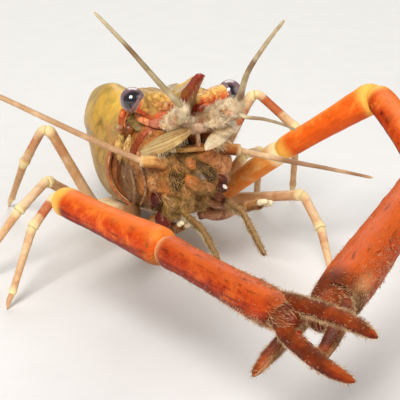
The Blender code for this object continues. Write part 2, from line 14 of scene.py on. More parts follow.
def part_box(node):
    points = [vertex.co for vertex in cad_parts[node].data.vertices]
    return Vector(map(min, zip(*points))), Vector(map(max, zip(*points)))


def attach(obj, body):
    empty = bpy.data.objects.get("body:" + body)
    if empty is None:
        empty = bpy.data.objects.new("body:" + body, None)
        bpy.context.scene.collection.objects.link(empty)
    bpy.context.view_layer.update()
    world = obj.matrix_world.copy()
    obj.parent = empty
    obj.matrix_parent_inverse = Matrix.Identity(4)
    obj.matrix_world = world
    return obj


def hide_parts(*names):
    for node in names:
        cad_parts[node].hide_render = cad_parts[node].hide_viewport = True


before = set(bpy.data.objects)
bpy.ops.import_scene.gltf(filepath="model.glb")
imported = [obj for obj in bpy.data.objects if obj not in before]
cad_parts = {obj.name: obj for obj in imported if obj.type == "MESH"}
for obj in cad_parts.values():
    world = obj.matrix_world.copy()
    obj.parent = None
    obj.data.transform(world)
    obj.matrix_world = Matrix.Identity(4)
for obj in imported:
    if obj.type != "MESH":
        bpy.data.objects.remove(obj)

bl_info = {
    "name": "River Prawn",
    "version": (1, 0, 0),
    "blender": (4, 5, 0),
    "location": "View3D > Sidebar > Prawn",
    "description": "Builds a long-arm river prawn from its solids' frame",
    "category": "Add Mesh",
}

MM = 0.001
SIDES = {"left": 1, "right": -1}

# The body's carriage and driving sizes, millimetres and degrees, as in the solids.
CARAPACE_LENGTH = 20.0
NOSE_UP = 17.0
SOCKET_HEIGHT = 17.0
GAP = 0.3
LIMB_TOP = (0.1, 0.1, 1.0)
ARM_BEND = 1.9
LEG_BEND = 0.9
CORNEA_RADIUS = 1.2
EYE_PLACE = (1.3, 0.3, 4.85)
EYE_SHIFT = {"right": 0.18, "left": 0.0}

# Carapace skin: forward, top, bottom, half width, fullness below and above.
CARAPACE_SKIN = (
    (-20.9, 0.55, -9.0, 4.3, 0.16, 0.18),
    (-19.0, 1.0, -9.4, 5.0, 0.16, 0.22),
    (-16.0, 1.1, -9.9, 5.7, 0.2, 0.26),
    (-12.0, 1.1, -10.2, 6.4, 0.34, 0.28),
    (-8.0, 1.1, -10.3, 6.6, 0.42, 0.22),
    (-4.0, 1.0, -10.3, 5.8, 0.48, 0.1),
    (-1.0, 0.95, -9.7, 5.35, 0.38, 0.0),
    (1.4, 0.9, -8.6, 4.6, 0.3, -0.1),
)
# Swelling over the gill chambers, and how far from the middle its crest stands.
GILL_SWELL = {1: 0.5, -1: 1.7}
GILL_CREST = 4.5
# Its front edge: height, forward.  The spine under the eye is the one that stands out.
FRONT_EDGE = (
    (-11.0, -4.4), (-9.3, -5.2), (-7.5, -5.6), (-5.5, -5.1), (-4.0, -3.7), (-3.0, -2.0),
    (-2.3, -0.5), (-1.6, -0.7), (-0.6, -0.5), (0.3, 0.1), (1.0, 1.0), (1.7, 1.4),
)
# Grooves in it: points (forward, height) and depth.
GROOVES = (
    (((-8.5, 3.2), (-7.6, 0.6), (-6.2, -1.6), (-4.6, -3.2)), 0.16),
    (((-18.0, -2.4), (-13.0, -2.2), (-9.0, -2.6), (-6.2, -4.2)), 0.12),
    (((-4.6, -3.2), (-6.6, -5.2), (-7.4, -7.4)), 0.09),
)

# Head mass inside the shell: forward, top, bottom, half width.
HEAD_MASS = (
    (-13.0, -1.6, -10.2, 5.0),
    (-8.0, -1.4, -10.5, 5.4),
    (-5.0, -1.0, -10.6, 5.3),
    (-2.5, -0.4, -10.4, 5.0),
    (0.2, -0.5, -10.1, 4.7),
    (2.2, -1.9, -9.8, 4.1),
    (4.0, -3.6, -9.3, 3.2),
    (5.3, -4.9, -8.6, 2.1),
    (6.0, -6.0, -7.8, 0.9),
)

# Rostrum: forward, upper edge, lower edge, half thickness.
ROSTRUM = (
    (-3.0, 1.1, 0.2, 0.35),
    (1.1, 1.1, -0.7, 0.62),
    (4.0, 1.3, -0.55, 0.58),
    (7.5, 1.6, 0.15, 0.5),
    (9.4, 1.85, 0.95, 0.44),
    (10.5, 2.1, 1.4, 0.42),
    (11.0, 1.95, 1.65, 0.2),
)
ROSTRUM_BEND = -0.55         # the tip's place to the left of the middle
ROSTRUM_TEETH = 10

# Limb routes: (length, heading from straight ahead towards its own side, rise).
ARM_ROOT = (-6.3, -10.5, 3.9)
ARMS = {
    "right": (
        ("ischium", 7.9, 16, 9, 0.85, 1.05),
        ("merus", 13.3, 42, 29, 1.0, 1.25),
        ("carpus", 15.4, -20, 2, 1.25, 1.5),
        ("palm", 15.8, -15.6, 2.3, 1.22, 1.36),
    ),
    "left": (
        ("ischium", 10.9, 40, 40, 0.95, 1.1),
        ("merus", 11.2, 55, 35, 1.1, 1.42),
        ("carpus", 14.0, -2, -11, 1.3, 1.65),
        ("palm", 20.5, -45, -13, 1.75, 2.05),
    ),
}
FINGERS = {"right": (9.7, 9.9, -34.6, 0.62), "left": (9.1, 13.6, 112.5, 0.78)}
FINGER_HOOK = 0.9
LEG_ROOTS = {"leg_3": (-9.8, -10.3, 3.2), "leg_4": (-12.6, -10.3, 3.2), "leg_5": (-15.4, -10.2, 2.9)}
HIP = 3.0
LEG_POSES = {
    ("leg_3", "right"): ((70, 4), (10.5, 43, 25), (3.6, 60, -40), (46, -57)),
    ("leg_4", "right"): ((85, 0), (9.5, 50, 34), (4.4, 57, -29), (75, -48)),
    ("leg_5", "right"): ((95, -4), (11.4, 72, 62), (6.2, 148, -55), (175, -44)),
    ("leg_3", "left"): ((75, 2), (11.2, 31, 16), (4.1, 12, -36), (-2, -42)),
    ("leg_4", "left"): ((85, 2), (6.6, 38, 54), (3.6, 135, -10), (165, -55)),
    ("leg_5", "left"): ((95, -2), (12.9, 71, 65), (6.0, 56, -39), (163, -54)),
}
FIRST_LEG_ROOT = (-4.6, -11.4, 2.3)
FIRST_LEGS = {
    "right": ((2.4, -22, -4), (2.4, -10, 17), (2.4, -9, 31)),
    "left": ((3.4, 78, 8), (5.3, 3, 22), (3.5, 18, 24)),
}
MAXILLIPED_ROOTS = {"right": (1.0, -10.3, 1.0), "left": (1.0, -9.8, 3.4)}
MAXILLIPEDS = {
    "right": ((7.1, -3, 3), (6.5, 5, -1)),
    "left": ((7.9, -3, 10), (6.3, 0, -15)),
}

# Feelers.
ANTENNULE_ROUTES = {
    "right": ((2.6, -1.9, 1.5), (5.6, -1.9, 2.0), (9.0, -1.2, 1.9)),
    "left": ((2.6, -1.9, 1.5), (5.6, -1.9, 2.4), (8.6, -1.1, 3.2)),
}
UPPER_FLAGELLA = {
    "right": ((4.7, 62, 46), (5.4, 56, 45), (4.5, 67, 46)),
    "left": ((5.5, -8, 44), (4.7, 7, 44), (3.8, 19, 46)),
}
LOWER_FLAGELLA = {
    "right": ((2.7, -5, 25), (3.5, 20, 11)),
    "left": ((1.8, 56, -2), (2.7, 119, -22), (2.5, 123, -26)),
}
ANTENNA_ENDS = {"right": (4.2, -5.3, 5.1), "left": (5.0, -5.2, 4.3)}
ANTENNA_FLAGELLA = {
    "right": ((5.2, 91, 28), (5.0, 89, 30), (4.9, 103, 27), (7.0, 112, 22), (8.0, 128, 12),
              (8.0, 142, 0), (9.0, 154, -10), (9.0, 163, -14), (9.0, 170, -12)),
    "left": ((5.5, 31, 3), (4.9, 34, 3), (4.6, 32, 3)),
}
# Root, tip and the way that each antennal scale's upper face looks, in the body frame.
SCALE_POSES = {
    "right": ((2.0, -4.6, -4.3), (8.2, -3.0, -1.1), (0.3, 0.5, -0.8)),
    "left": ((1.8, -2.6, 4.9), (8.0, -4.7, 0.2), (0.3, 0.8, 0.4)),
}
SCALE_WIDTHS = {"right": 0.72, "left": 0.5}
ANTENNA_BASES = {
    "right": ((-1.0, -5.0, -3.4), (2.6, -5.8, -2.4), (4.6, -5.8, -2.5)),
    "left": ((-1.2, -4.2, 4.0), (2.6, -4.7, 2.4), (5.0, -4.8, 2.5)),
}
EYE_STALK_ROOTS = {"right": (2.0, -1.3, -2.6), "left": (2.0, -0.5, 1.0)}

# Abdomen: name, length, droop, turn to its left, rear depth, rear half width.
ABDOMEN = (
    ("somite_1", 4.4, 14.0, 6.0, 9.9, 5.2),
    ("somite_2", 5.6, 12.0, 14.0, 10.0, 5.2),
    ("somite_3", 6.8, 7.0, 20.0, 9.2, 4.7),
    ("somite_4", 5.0, 8.0, 24.0, 8.0, 4.1),
    ("somite_5", 4.4, 9.0, 26.0, 6.8, 3.5),
    ("somite_6", 6.8, 11.0, 27.0, 4.4, 2.5),
)
ABDOMEN_FRONT = (10.2, 4.9)
ABDOMEN_ROOT = (-CARAPACE_LENGTH - GAP, -3.1)
TELSON_LENGTH = 9.5
TELSON_TIP_HEIGHT = 2.0
TAIL_FAN = (("uropod_outer", 34.0, 8.8, 2.1, 0.29), ("uropod_inner", 13.0, 8.2, 1.6, 1.2))


def linear(red, green, blue):
    """Linear colour of a display colour given as 0 to 255."""
    return tuple(((value / 255 + 0.055) / 1.055) ** 2.4 for value in (red, green, blue))


def body_frame():
    """Directions ahead, dorsal and to the left of the tipped body."""
    pitch = math.radians(NOSE_UP)
    ahead = Vector((0, -math.cos(pitch), math.sin(pitch)))
    return ahead, Vector((0, math.sin(pitch), math.cos(pitch))), Vector((1, 0, 0))


AHEAD, DORSAL, LEFTWARD = body_frame()
UPWARD = Vector((0, 0, 1))


def body_origin():
    """Middle of the eye sockets, from the right eye's place in the frame."""
    low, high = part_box("eye_right")
    forward, up, left = EYE_PLACE
    offset = AHEAD * forward + DORSAL * up - LEFTWARD * left
    return (Vector(low) + Vector(high)) / 2 - offset * MM


ORIGIN = body_origin()


def body_point(forward, up, left):
    """World point of a place given in the body frame in millimetres."""
    return ORIGIN + (AHEAD * forward + DORSAL * up + LEFTWARD * left) * MM


def side_point(place, side):
    """World point of a place whose third number counts towards its own side."""
    forward, up, out = place
    return body_point(forward, up, side * out)


def direction(heading, rise, side=1):
    """Unit vector turned `heading` from straight ahead towards `side`, raised by `rise`."""
    turn = math.radians(heading)
    lift = math.radians(rise)
    level = math.cos(lift)
    return Vector((side * math.sin(turn) * level, -math.cos(turn) * level, math.sin(lift)))


def smoothstep(low, high, value):
    """Zero below `low`, one above `high`, smooth between."""
    t = min(1.0, max(0.0, (value - low) / (high - low)))
    return t * t * (3 - 2 * t)


def bell(value, middle, width):
    """One at the middle, falling away on both sides."""
    return math.exp(-((value - middle) / width) ** 2)


def station_at(stations, place):
    """Smooth values of a station table at `place`, its first column."""
    last = len(stations) - 2
    index = 0
    while index < last and place > stations[index + 1][0]:
        index += 1
    before, start, end, after = (stations[min(max(index + step, 0), last + 1)] for step in (-1, 0, 1, 2))
    span = end[0] - start[0]
    t = min(1.0, max(0.0, (place - start[0]) / span))
    values = []
    for column in range(1, len(start)):
        slope_in = (end[column] - before[column]) / (end[0] - before[0]) * span
        slope_out = (after[column] - start[column]) / (after[0] - start[0]) * span
        values.append(
            (2 * t**3 - 3 * t**2 + 1) * start[column] + (t**3 - 2 * t**2 + t) * slope_in
            + (3 * t**2 - 2 * t**3) * end[column] + (t**3 - t**2) * slope_out
        )
    return values


def section_point(angle, half_width, top, bottom, low_fullness, high_fullness, level=0.5):
    """Point (across, up) round a body section; fullness squares it, and less than 0 ridges it."""
    middle = bottom + (top - bottom) * level
    across = math.cos(angle)
    up = math.sin(angle)
    fullness = low_fullness if up < 0 else high_fullness
    power = 1 - fullness
    across = math.copysign(abs(across) ** power, across)
    if up < 0 or fullness > 0:
        up = math.copysign(abs(up) ** power, up)
    return half_width * across, middle + (top - middle if up > 0 else middle - bottom) * up


def grid(rows, columns, place):
    """Rows of points, each placed by its share of the length and its angle round."""
    return [[place(row / (rows - 1), 2 * math.pi * column / columns) for column in range(columns)]
            for row in range(rows)]


# What each point of a skin carries, and what it has where a piece says nothing.
POINT_VALUES = {
    "along": "FLOAT", "rest": "FLOAT", "dorsal": "FLOAT", "tone": "FLOAT", "pale": "FLOAT",
    "fur": "FLOAT", "grain": "FLOAT_VECTOR", "flow": "FLOAT_VECTOR", "paint": "FLOAT_COLOR",
}
PLAIN_VALUES = {"tone": 0.0, "pale": 0.0, "fur": 1.0, "paint": (0.5, 0.5, 0.5)}
GRAIN_RUN = 0.1              # grain per millimetre along a skin
GRAIN_SHIFT = 9              # how far apart two skins of one piece have their grain
ROUGH_SCALE = 900            # lumps to the metre on an uneven skin


class Shape:
    """Points, faces and per-point values of one piece while it is being made."""

    def __init__(self):
        for label in ("points", "faces", "places", "slots", *POINT_VALUES):
            setattr(self, label, [])

    def add_rows(self, rows, closed=True, slot=0, cell=(0.0, 1.0), dorsal=None, **looks):
        """Skin through rows of points, outside out, with the values that materials and hairs read.

        `tone`, `pale`, `fur` and `paint` are functions of a row's share of the length and a
        column's share of the way round.  `dorsal` is a value for each column, or the direction
        of a limb's front and under side, where its material paints shade.  `cell` is the skin's band of the
        unwrap.
        """
        base = len(self.points)
        count = len(rows[0])
        spans = count if closed else count - 1
        centres = [sum(row, Vector()) / count for row in rows]
        lengths = run_lengths(centres, MM)
        last = len(rows) - 1
        for index, row in enumerate(rows):
            share = lengths[index] / max(lengths[-1], 1e-9)
            for column, point in enumerate(row):
                turn = 2 * math.pi * column / count
                flow = rows[min(index + 1, last)][column] - rows[max(index - 1, 0)][column]
                if isinstance(dorsal, Vector):
                    back = (point - centres[index]).normalized().dot(dorsal)
                else:
                    back = dorsal[column] if dorsal else math.sin(turn)
                run = lengths[index] * GRAIN_RUN + cell[0] * GRAIN_SHIFT
                values = {
                    "points": point, "along": lengths[index], "rest": lengths[-1] - lengths[index],
                    "dorsal": back, "grain": Vector((math.cos(turn), math.sin(turn), run)),
                    "flow": flow.normalized() if flow.length > 0 else UPWARD,
                }
                for label, plain in PLAIN_VALUES.items():
                    look = looks.get(label)
                    values[label] = look(share, column / spans) if look else plain
                for label, value in values.items():
                    getattr(self, label).append(value)
        first_face = len(self.faces)
        low, high = cell

        def corner(index, column):
            return column / spans, low + (high - low) * index / last

        for index in range(last):
            for column in range(spans):
                ahead = (column + 1) % count
                here = base + index * count
                on = here + count
                self.faces.append((here + column, on + column, on + ahead, here + ahead))
                self.places.append((corner(index, column), corner(index + 1, column),
                                    corner(index + 1, column + 1), corner(index, column + 1)))
                self.slots.append(slot)
        if closed:
            for index in (0, last):
                self.add_pole(base + index * count, count, centres[index], corner, index, slot)
        self.turn_outwards(first_face, centres, base, count)

    def add_pole(self, here, count, centre, corner, index, slot):
        """Close an end with a fan to the middle of its last row."""
        pole = len(self.points)
        self.points.append(centre)
        for label in POINT_VALUES:
            values = getattr(self, label)
            values.append(values[here])
        for column in range(count):
            ahead = (column + 1) % count
            pair = (here + column, here + ahead) if index == 0 else (here + ahead, here + column)
            self.faces.append((pole, *pair))
            self.places.append((corner(index, column), corner(index, column), corner(index, column + 1)))
            self.slots.append(slot)

    def turn_outwards(self, first_face, centres, base, count):
        """Flip the new faces if they point at the middle of the skin."""
        balance = 0.0
        for face in self.faces[first_face:]:
            points = [self.points[index] for index in face]
            normal = (points[1] - points[0]).cross(points[2] - points[0])
            row = min(max((face[-1] - base) // count, 0), len(centres) - 1)
            balance += normal.dot(points[0] - centres[row])
        if balance < 0:
            for index in range(first_face, len(self.faces)):
                self.faces[index] = self.faces[index][::-1]
                self.places[index] = self.places[index][::-1]

    def add_ball(self, centre, radii, axes, sides=20, rows=12, **looks):
        """Ellipsoid on three axes."""
        rings = []
        for row in range(1, rows):
            polar = math.pi * row / rows
            ring = []
            for column in range(sides):
                turn = 2 * math.pi * column / sides
                unit = (math.sin(polar) * math.cos(turn), math.sin(polar) * math.sin(turn), -math.cos(polar))
                parts = zip(axes, Vector(unit), radii)
                out = sum((axis * (part * radius * MM) for axis, part, radius in parts), Vector())
                ring.append(centre + out)
            rings.append(ring)
        self.add_rows(rings, **looks)


def add_object(name, data):
    """Object in the scene, at the origin."""
    made = bpy.data.objects.new(name, data)
    bpy.context.scene.collection.objects.link(made)
    return made


def flat(values):
    """The numbers of a row of vectors, one after another."""
    return [part for value in values for part in value]


def make_mesh(name, shape, *materials):
    """Mesh object of a shape, with its values as attributes."""
    mesh = bpy.data.meshes.new(name)
    mesh.from_pydata([tuple(point) for point in shape.points], [], shape.faces)
    for label, kind in POINT_VALUES.items():
        values = getattr(shape, label)
        data = mesh.attributes.new(label, kind, "POINT").data
        if kind == "FLOAT":
            data.foreach_set("value", values)
        elif kind == "FLOAT_VECTOR":
            data.foreach_set("vector", flat(values))
        else:
            data.foreach_set("color", flat((*value, 1.0) for value in values))
    layer = mesh.uv_layers.new(name="place")
    layer.data.foreach_set("uv", flat(flat(shape.places)))
    mesh.polygons.foreach_set("material_index", shape.slots)
    for material in materials:
        mesh.materials.append(material)
    mesh.shade_smooth()
    mesh.update()
    return add_object(name, mesh)


def settle(piece, slot, *nodes):
    """Give a finished piece its body and hide the solids that it stands for; the slot is not used."""
    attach(piece, "root")
    if nodes:
        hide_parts(*nodes)
    return piece


def add_piece(name, shape, material, slot, *nodes):
    """Finished piece of one shape and one material."""
    return settle(make_mesh(name, shape, material), slot, *nodes)


def apply_modifiers(piece):
    """Turn a piece's evaluated shape into its plain mesh and drop the modifiers."""
    depsgraph = bpy.context.evaluated_depsgraph_get()
    depsgraph.update()
    mesh = bpy.data.meshes.new_from_object(piece.evaluated_get(depsgraph),
                                           preserve_all_data_layers=True, depsgraph=depsgraph)
    old = piece.data
    piece.modifiers.clear()
    piece.data = mesh
    mesh.name = piece.name
    bpy.data.meshes.remove(old)


def add_wall(piece, thickness):
    """Give an open shell its thickness, inwards."""
    solid = piece.modifiers.new("wall", "SOLIDIFY")
    solid.thickness = thickness * MM
    solid.offset = -1.0
    apply_modifiers(piece)


# Routes and tubes.


def run_lengths(points, unit=1.0):
    """Length of a route up to each of its points."""
    lengths = [0.0]
    for start, end in zip(points, points[1:]):
        lengths.append(lengths[-1] + (end - start).length / unit)
    return lengths


def route_axes(centres):
    """Direction of a route at each of its points."""
    last = len(centres) - 1
    return [(centres[min(index + 1, last)] - centres[max(index - 1, 0)]).normalized()
            for index in range(last + 1)]


def rings_on(centres, axes, halves, up, sides, rough):
    """Oval rings square to their axes, carried along the route without twist."""
    rows = []
    level = Vector(up)
    for centre, axis, (half_width, half_depth) in zip(centres, axes, halves):
        level = (level - axis * level.dot(axis)).normalized()
        across = axis.cross(level)
        ring = []
        for step in range(sides):
            angle = 2 * math.pi * step / sides
            out = across * (half_width * math.cos(angle)) + level * (half_depth * math.sin(angle))
            if rough:
                out = out * (1 + rough * noise.noise((centre + out * MM) * ROUGH_SCALE))
            ring.append(centre + out * MM)
        rows.append(ring)
    return rows


def ring_rows(centres, halves, up, sides, end_axes=None, rough=0.0):
    """Oval rings square to a route; the end ones may face their own way."""
    axes = route_axes(centres)
    if end_axes:
        axes[0], axes[-1] = end_axes
    return rings_on(centres, axes, halves, up, sides, rough)


def even_route(points, count):
    """The same route with its points evenly spaced."""
    lengths = run_lengths(points)
    result = []
    index = 0
    for step in range(count):
        goal = lengths[-1] * step / (count - 1)
        while index < len(points) - 2 and lengths[index + 1] < goal:
            index += 1
        span = max(lengths[index + 1] - lengths[index], 1e-12)
        result.append(points[index].lerp(points[index + 1], min(1.0, (goal - lengths[index]) / span)))
    return result


def smooth_route(points, steps):
    """Catmull-Rom curve through a route's points."""
    result = []
    last = len(points) - 1
    for index in range(last):
        before, start, end, after = (points[min(max(index + step, 0), last)] for step in (-1, 0, 1, 2))
        for step in range(steps):
            t = step / steps
            result.append(
                0.5 * (2 * start + (end - before) * t + (2 * before - 5 * start + 4 * end - after) * t**2
                       + (3 * start - before - 3 * end + after) * t**3)
            )
    result.append(points[-1])
    return result


def bend_points(before, joint, after, bend_radius, steps):
    """Points of a round bend at `joint`, from one straight run into the next."""
    back = (before - joint).normalized()
    on = (after - joint).normalized()
    turn = math.pi - back.angle(on)
    reach = min((before - joint).length, (after - joint).length) * 0.45
    set_back = min(bend_radius * MM * math.tan(turn / 2), reach)
    start = joint + back * set_back
    end = joint + on * set_back
    return [start.lerp(joint, step / steps).lerp(joint.lerp(end, step / steps), step / steps)
            for step in range(steps + 1)]


def joint_chain(start, stretches, side):
    """Joint positions from a start point and (length, heading, rise) stretches."""
    joints = [start]
    for length, heading, rise in stretches:
        joints.append(joints[-1] + direction(heading, rise, side) * (length * MM))
    return joints


BEND_STEPS = 12


def piece_route(joints, first, last, bend_radius):
    """Centre line from joint `first` to joint `last`, bent smoothly at those between them."""
    half = BEND_STEPS // 2
    points = []
    for index in range(first, last + 1):
        if not 0 < index < len(joints) - 1:
            points.append(joints[index])
            continue
        bend = bend_points(*joints[index - 1:index + 2], bend_radius, BEND_STEPS)
        points += bend[half:] if index == first else bend[:half + 1] if index == last else bend
    return points


def cut_axis(joints, index):
    """Direction square to the cut at a joint; along the limb at its root and tip."""
    before = joints[max(index - 1, 0)]
    after = joints[min(index + 1, len(joints) - 1)]
    here = joints[index]
    return ((here - before).normalized() + (after - here).normalized()).normalized()


# Share of the length, share of the width: a shell section of a limb, rounded into its joints.
SECTION_PROFILE = (
    (0.0, 0.74), (0.015, 0.86), (0.045, 0.96), (0.1, 1.0), (0.3, 0.96), (0.6, 0.98), (0.85, 1.04),
    (0.94, 1.06), (0.975, 1.0), (0.99, 0.9), (1.0, 0.78),
)
SLENDER_PROFILE = (
    (0.0, 0.85), (0.03, 1.05), (0.1, 1.0), (0.5, 0.95), (0.88, 1.0), (0.95, 1.16), (0.985, 1.08),
    (1.0, 0.85),
)
# The side of a limb, front and under, where its material lays painted shade over deeper pigment; the opposite
# side gets painted light.
SHADED_FRONT_AND_UNDER = Vector((-0.3, -0.42, -0.86)).normalized()
END_FOLDS = ((0.06, 0.55), (0.1, 0.2))      # how far an end folds in, and its width there
END_CROWDING = 0.75                         # how much closer rows stand by the ends


def joint_pale(start, end, reach, length):
    """Paleness near a section's two ends: its strengths there and how far it reaches."""
    return lambda share, part: max(start * smoothstep(reach, 0.0, share * length),
                                   end * smoothstep(reach, 0.0, (1 - share) * length))


def limb_skin(shape, joints, first, last, widths, bend_radius, rows, sides, pales, rough=0.02,
              profile=SECTION_PROFILE, **looks):
    """One shell section of a limb, rounded at both ends and pale by its joints."""
    points = piece_route(joints, first, last, bend_radius)
    cuts = [cut_axis(joints, first), cut_axis(joints, last)]
    fine = even_route(points, rows * 6)
    route = []
    halves = []
    start_half, end_half = widths
    for index in range(rows):
        t = index / (rows - 1)
        t = t - END_CROWDING * math.sin(2 * math.pi * t) / (2 * math.pi)
        place = fine[round(t * (len(fine) - 1))]
        if route and (place - route[-1]).length == 0:
            continue
        route.append(place)
        half = (start_half + (end_half - start_half) * t) * station_at(profile, t)[0]
        halves.append((half, half))
    # The folded-in rows at an end face the way of their joint's cut, as its last row does.
    axes = [cuts[0]] * (1 + len(END_FOLDS)) + route_axes(route)[1:-1] + [cuts[1]] * (1 + len(END_FOLDS))
    start, end = route[0], route[-1]
    for inset, share in END_FOLDS:
        route.insert(0, start + cuts[0] * (inset * MM))
        halves.insert(0, (start_half * share,) * 2)
        route.append(end - cuts[1] * (inset * MM))
        halves.append((end_half * share,) * 2)
    shape.add_rows(rings_on(route, axes, halves, LIMB_TOP, sides, rough), dorsal=SHADED_FRONT_AND_UNDER,
                   pale=joint_pale(*pales, run_lengths(points)[-1] / MM), **looks)


def limb_sections(shape, joints, widths, cells, *settings, **looks):
    """A limb's shell sections from its root on, each with its own band of the unwrap."""
    for number, pair in enumerate(widths):
        limb_skin(shape, joints, number, number + 1, pair, *settings,
                  cell=(number / cells, (number + 1) / cells), **looks)


# Materials.


SOCKET_KINDS = {float: "NodeSocketFloat", int: "NodeSocketInt", tuple: "NodeSocketColor"}


def add_sockets(tree, sockets):
    """Named inputs of a node tree, each with its default, or with its kind where it has none."""
    for label, given in sockets.items():
        kind = SOCKET_KINDS.get(type(given), given)
        socket = tree.interface.new_socket(label, in_out="INPUT", socket_type=kind)
        if kind != given:
            socket.default_value = given


def opaque(colour):
    """Shader colour: whole numbers are a display colour, others are linear already."""
    if isinstance(colour, bpy.types.NodeSocket):
        return colour
    return (*(linear(*colour) if isinstance(colour[0], int) else colour), 1.0)


class Nodes:
    """Short ways to lay nodes in a tree."""

    def __init__(self, tree):
        self.tree = tree

    def feed(self, made, inputs):
        """Link or set a node's inputs."""
        for key, value in inputs.items():
            if isinstance(value, bpy.types.NodeSocket):
                self.tree.links.new(value, made.inputs[key])
            else:
                made.inputs[key].default_value = value

    def node(self, kind, inputs=None, **settings):
        made = self.tree.nodes.new(kind)
        for key, value in settings.items():
            setattr(made, key, value)
        self.feed(made, inputs or {})
        return made

    def math(self, operation, first, second=0.0):
        return self.node("ShaderNodeMath", {0: first, 1: second}, operation=operation).outputs[0]


class Graph(Nodes):
    """Short ways to lay shader nodes."""

    def attribute(self, name, output="Fac"):
        return self.node("ShaderNodeAttribute", attribute_name=name).outputs[output]

    def place(self):
        return self.node("ShaderNodeTexCoord").outputs["Object"]

    def noise(self, vector, scale, detail=4.0, roughness=0.6, distortion=0.0):
        return self.node("ShaderNodeTexNoise", {
            "Vector": vector, "Scale": scale, "Detail": detail, "Roughness": roughness,
            "Distortion": distortion}).outputs["Fac"]

    def cells(self, vector, scale):
        return self.node("ShaderNodeTexVoronoi", {"Vector": vector, "Scale": scale}).outputs["Distance"]

    def ramp(self, value, low, high, start=0.0, end=1.0):
        inputs = {0: value, 1: low, 2: high, 3: start, 4: end}
        return self.node("ShaderNodeMapRange", inputs, interpolation_type="SMOOTHSTEP").outputs[0]

    def band(self, value, low, high, soft):
        """Mask that is one between `low` and `high`."""
        return self.math("MULTIPLY", self.ramp(value, low - soft, low + soft),
                         self.ramp(value, high - soft, high + soft, 1.0, 0.0))

    def plus(self, first, second, share):
        """The first value and a share of the second."""
        return self.math("ADD", first, self.math("MULTIPLY", second, share))

    def mix(self, share, first, second, blend="MIX"):
        inputs = {0: share, 6: opaque(first), 7: opaque(second)}
        return self.node("ShaderNodeMix", inputs, data_type="RGBA", blend_type=blend).outputs[2]

    def lay(self, under, over, value, low, high, share=1.0):
        """One colour over another where a value goes from `low` to `high`."""
        return self.mix(self.ramp(value, low, high, 0.0, share), under, over)

    def stretch(self, vector, scale):
        return self.node("ShaderNodeMapping", {"Vector": vector, "Scale": scale}).outputs["Vector"]

    def group(self, name, inputs):
        return self.node("ShaderNodeGroup", inputs, node_tree=shared_tree(name)).outputs

    def pigment(self, vector, main, pale, dark, patch, speck, specks):
        """Mottled colour of a living shell."""
        return self.group("pigment", {
            "Vector": vector, "Main": opaque(main), "Pale": opaque(pale), "Dark": opaque(dark),
            "Patch Scale": patch, "Speck Scale": speck, "Specks": specks})["Color"]


def new_group(name, inputs, outputs):
    """Shader group with named sockets: its graph, its inputs and its output node."""
    tree = bpy.data.node_groups.new(name, "ShaderNodeTree")
    add_sockets(tree, inputs)
    for label, kind in outputs:
        tree.interface.new_socket(label, in_out="OUTPUT", socket_type=kind)
    graph = Graph(tree)
    return graph, graph.node("NodeGroupInput").outputs, graph.node("NodeGroupOutput")


def pigment_group():
    """Living shell's pigment: soft patches of three colours under fine dark and pale specks."""
    graph, given, made = new_group("pigment", {
        "Vector": "NodeSocketVector", "Main": (0.5, 0.5, 0.5, 1.0), "Pale": (1.0, 1.0, 1.0, 1.0),
        "Dark": (0.0, 0.0, 0.0, 1.0), "Patch Scale": 400.0, "Speck Scale": 3000.0, "Specks": 0.5,
    }, (("Color", "NodeSocketColor"),))
    patch = graph.noise(given["Vector"], given["Patch Scale"], 5.0, 0.65, 0.4)
    base = graph.lay(given["Main"], given["Pale"], patch, 0.48, 0.68)
    base = graph.lay(base, given["Dark"], patch, 0.47, 0.3)
    fine = graph.noise(given["Vector"], given["Speck Scale"], 3.0, 0.7)
    speck = graph.math("MULTIPLY", graph.ramp(fine, 0.57, 0.68), given["Specks"])
    gleam = graph.math("MULTIPLY", graph.ramp(fine, 0.42, 0.3), given["Specks"])
    base = graph.mix(speck, base, given["Dark"])
    base = graph.mix(graph.math("MULTIPLY", gleam, 0.6), base, given["Pale"])
    graph.feed(made, {"Color": base})
    return graph.tree


def relief_group():
    """Fine relief of a shell: shallow pits, low swellings and a broken gloss."""
    value = "NodeSocketFloat"
    graph, given, made = new_group("relief", {
        "Vector": "NodeSocketVector", "Pit Scale": 5000.0, "Swell Scale": 900.0, "Smooth": 0.3, "Dull": 0.5,
    }, (("Height", value), ("Roughness", value)))
    pits = graph.ramp(graph.cells(given["Vector"], given["Pit Scale"]), 0.0, 0.45)
    swell = graph.noise(given["Vector"], given["Swell Scale"], 4.0, 0.6)
    gloss = graph.noise(given["Vector"], given["Swell Scale"], 3.0, 0.7)
    rough = graph.node("ShaderNodeMapRange", {
        0: gloss, 1: 0.3, 2: 0.7, 3: given["Smooth"], 4: given["Dull"]}).outputs[0]
    graph.feed(made, {"Height": graph.plus(swell, pits, 0.45), "Roughness": rough})
    return graph.tree


def new_material(name, subsurface=0.12, coat=0.3, specular=0.25):
    """Material with a Principled shader, its graph and the shader."""
    material = bpy.data.materials.new(name)
    material.use_nodes = True
    graph = Graph(material.node_tree)
    shader = material.node_tree.nodes["Principled BSDF"]
    graph.feed(shader, {
        "Subsurface Weight": subsurface, "Subsurface Radius": (1.0, 0.45, 0.2),
        "Subsurface Scale": 0.0006, "Coat Weight": coat, "Coat Roughness": 0.18,
        "Specular IOR Level": specular})
    return material, graph, shader


def finish_material(graph, shader, colour, vector, pit_scale, swell_scale, smooth, dull, bump):
    """Colour, broken gloss and fine relief on a shader."""
    relief = graph.group("relief", {"Vector": vector, "Pit Scale": pit_scale, "Swell Scale": swell_scale,
                                    "Smooth": smooth, "Dull": dull})
    bumped = graph.node("ShaderNodeBump", {"Height": relief["Height"], "Strength": bump,
                                           "Distance": 0.0001})
    graph.feed(shader, {"Base Color": colour, "Roughness": relief["Roughness"],
                        "Normal": bumped.outputs["Normal"]})


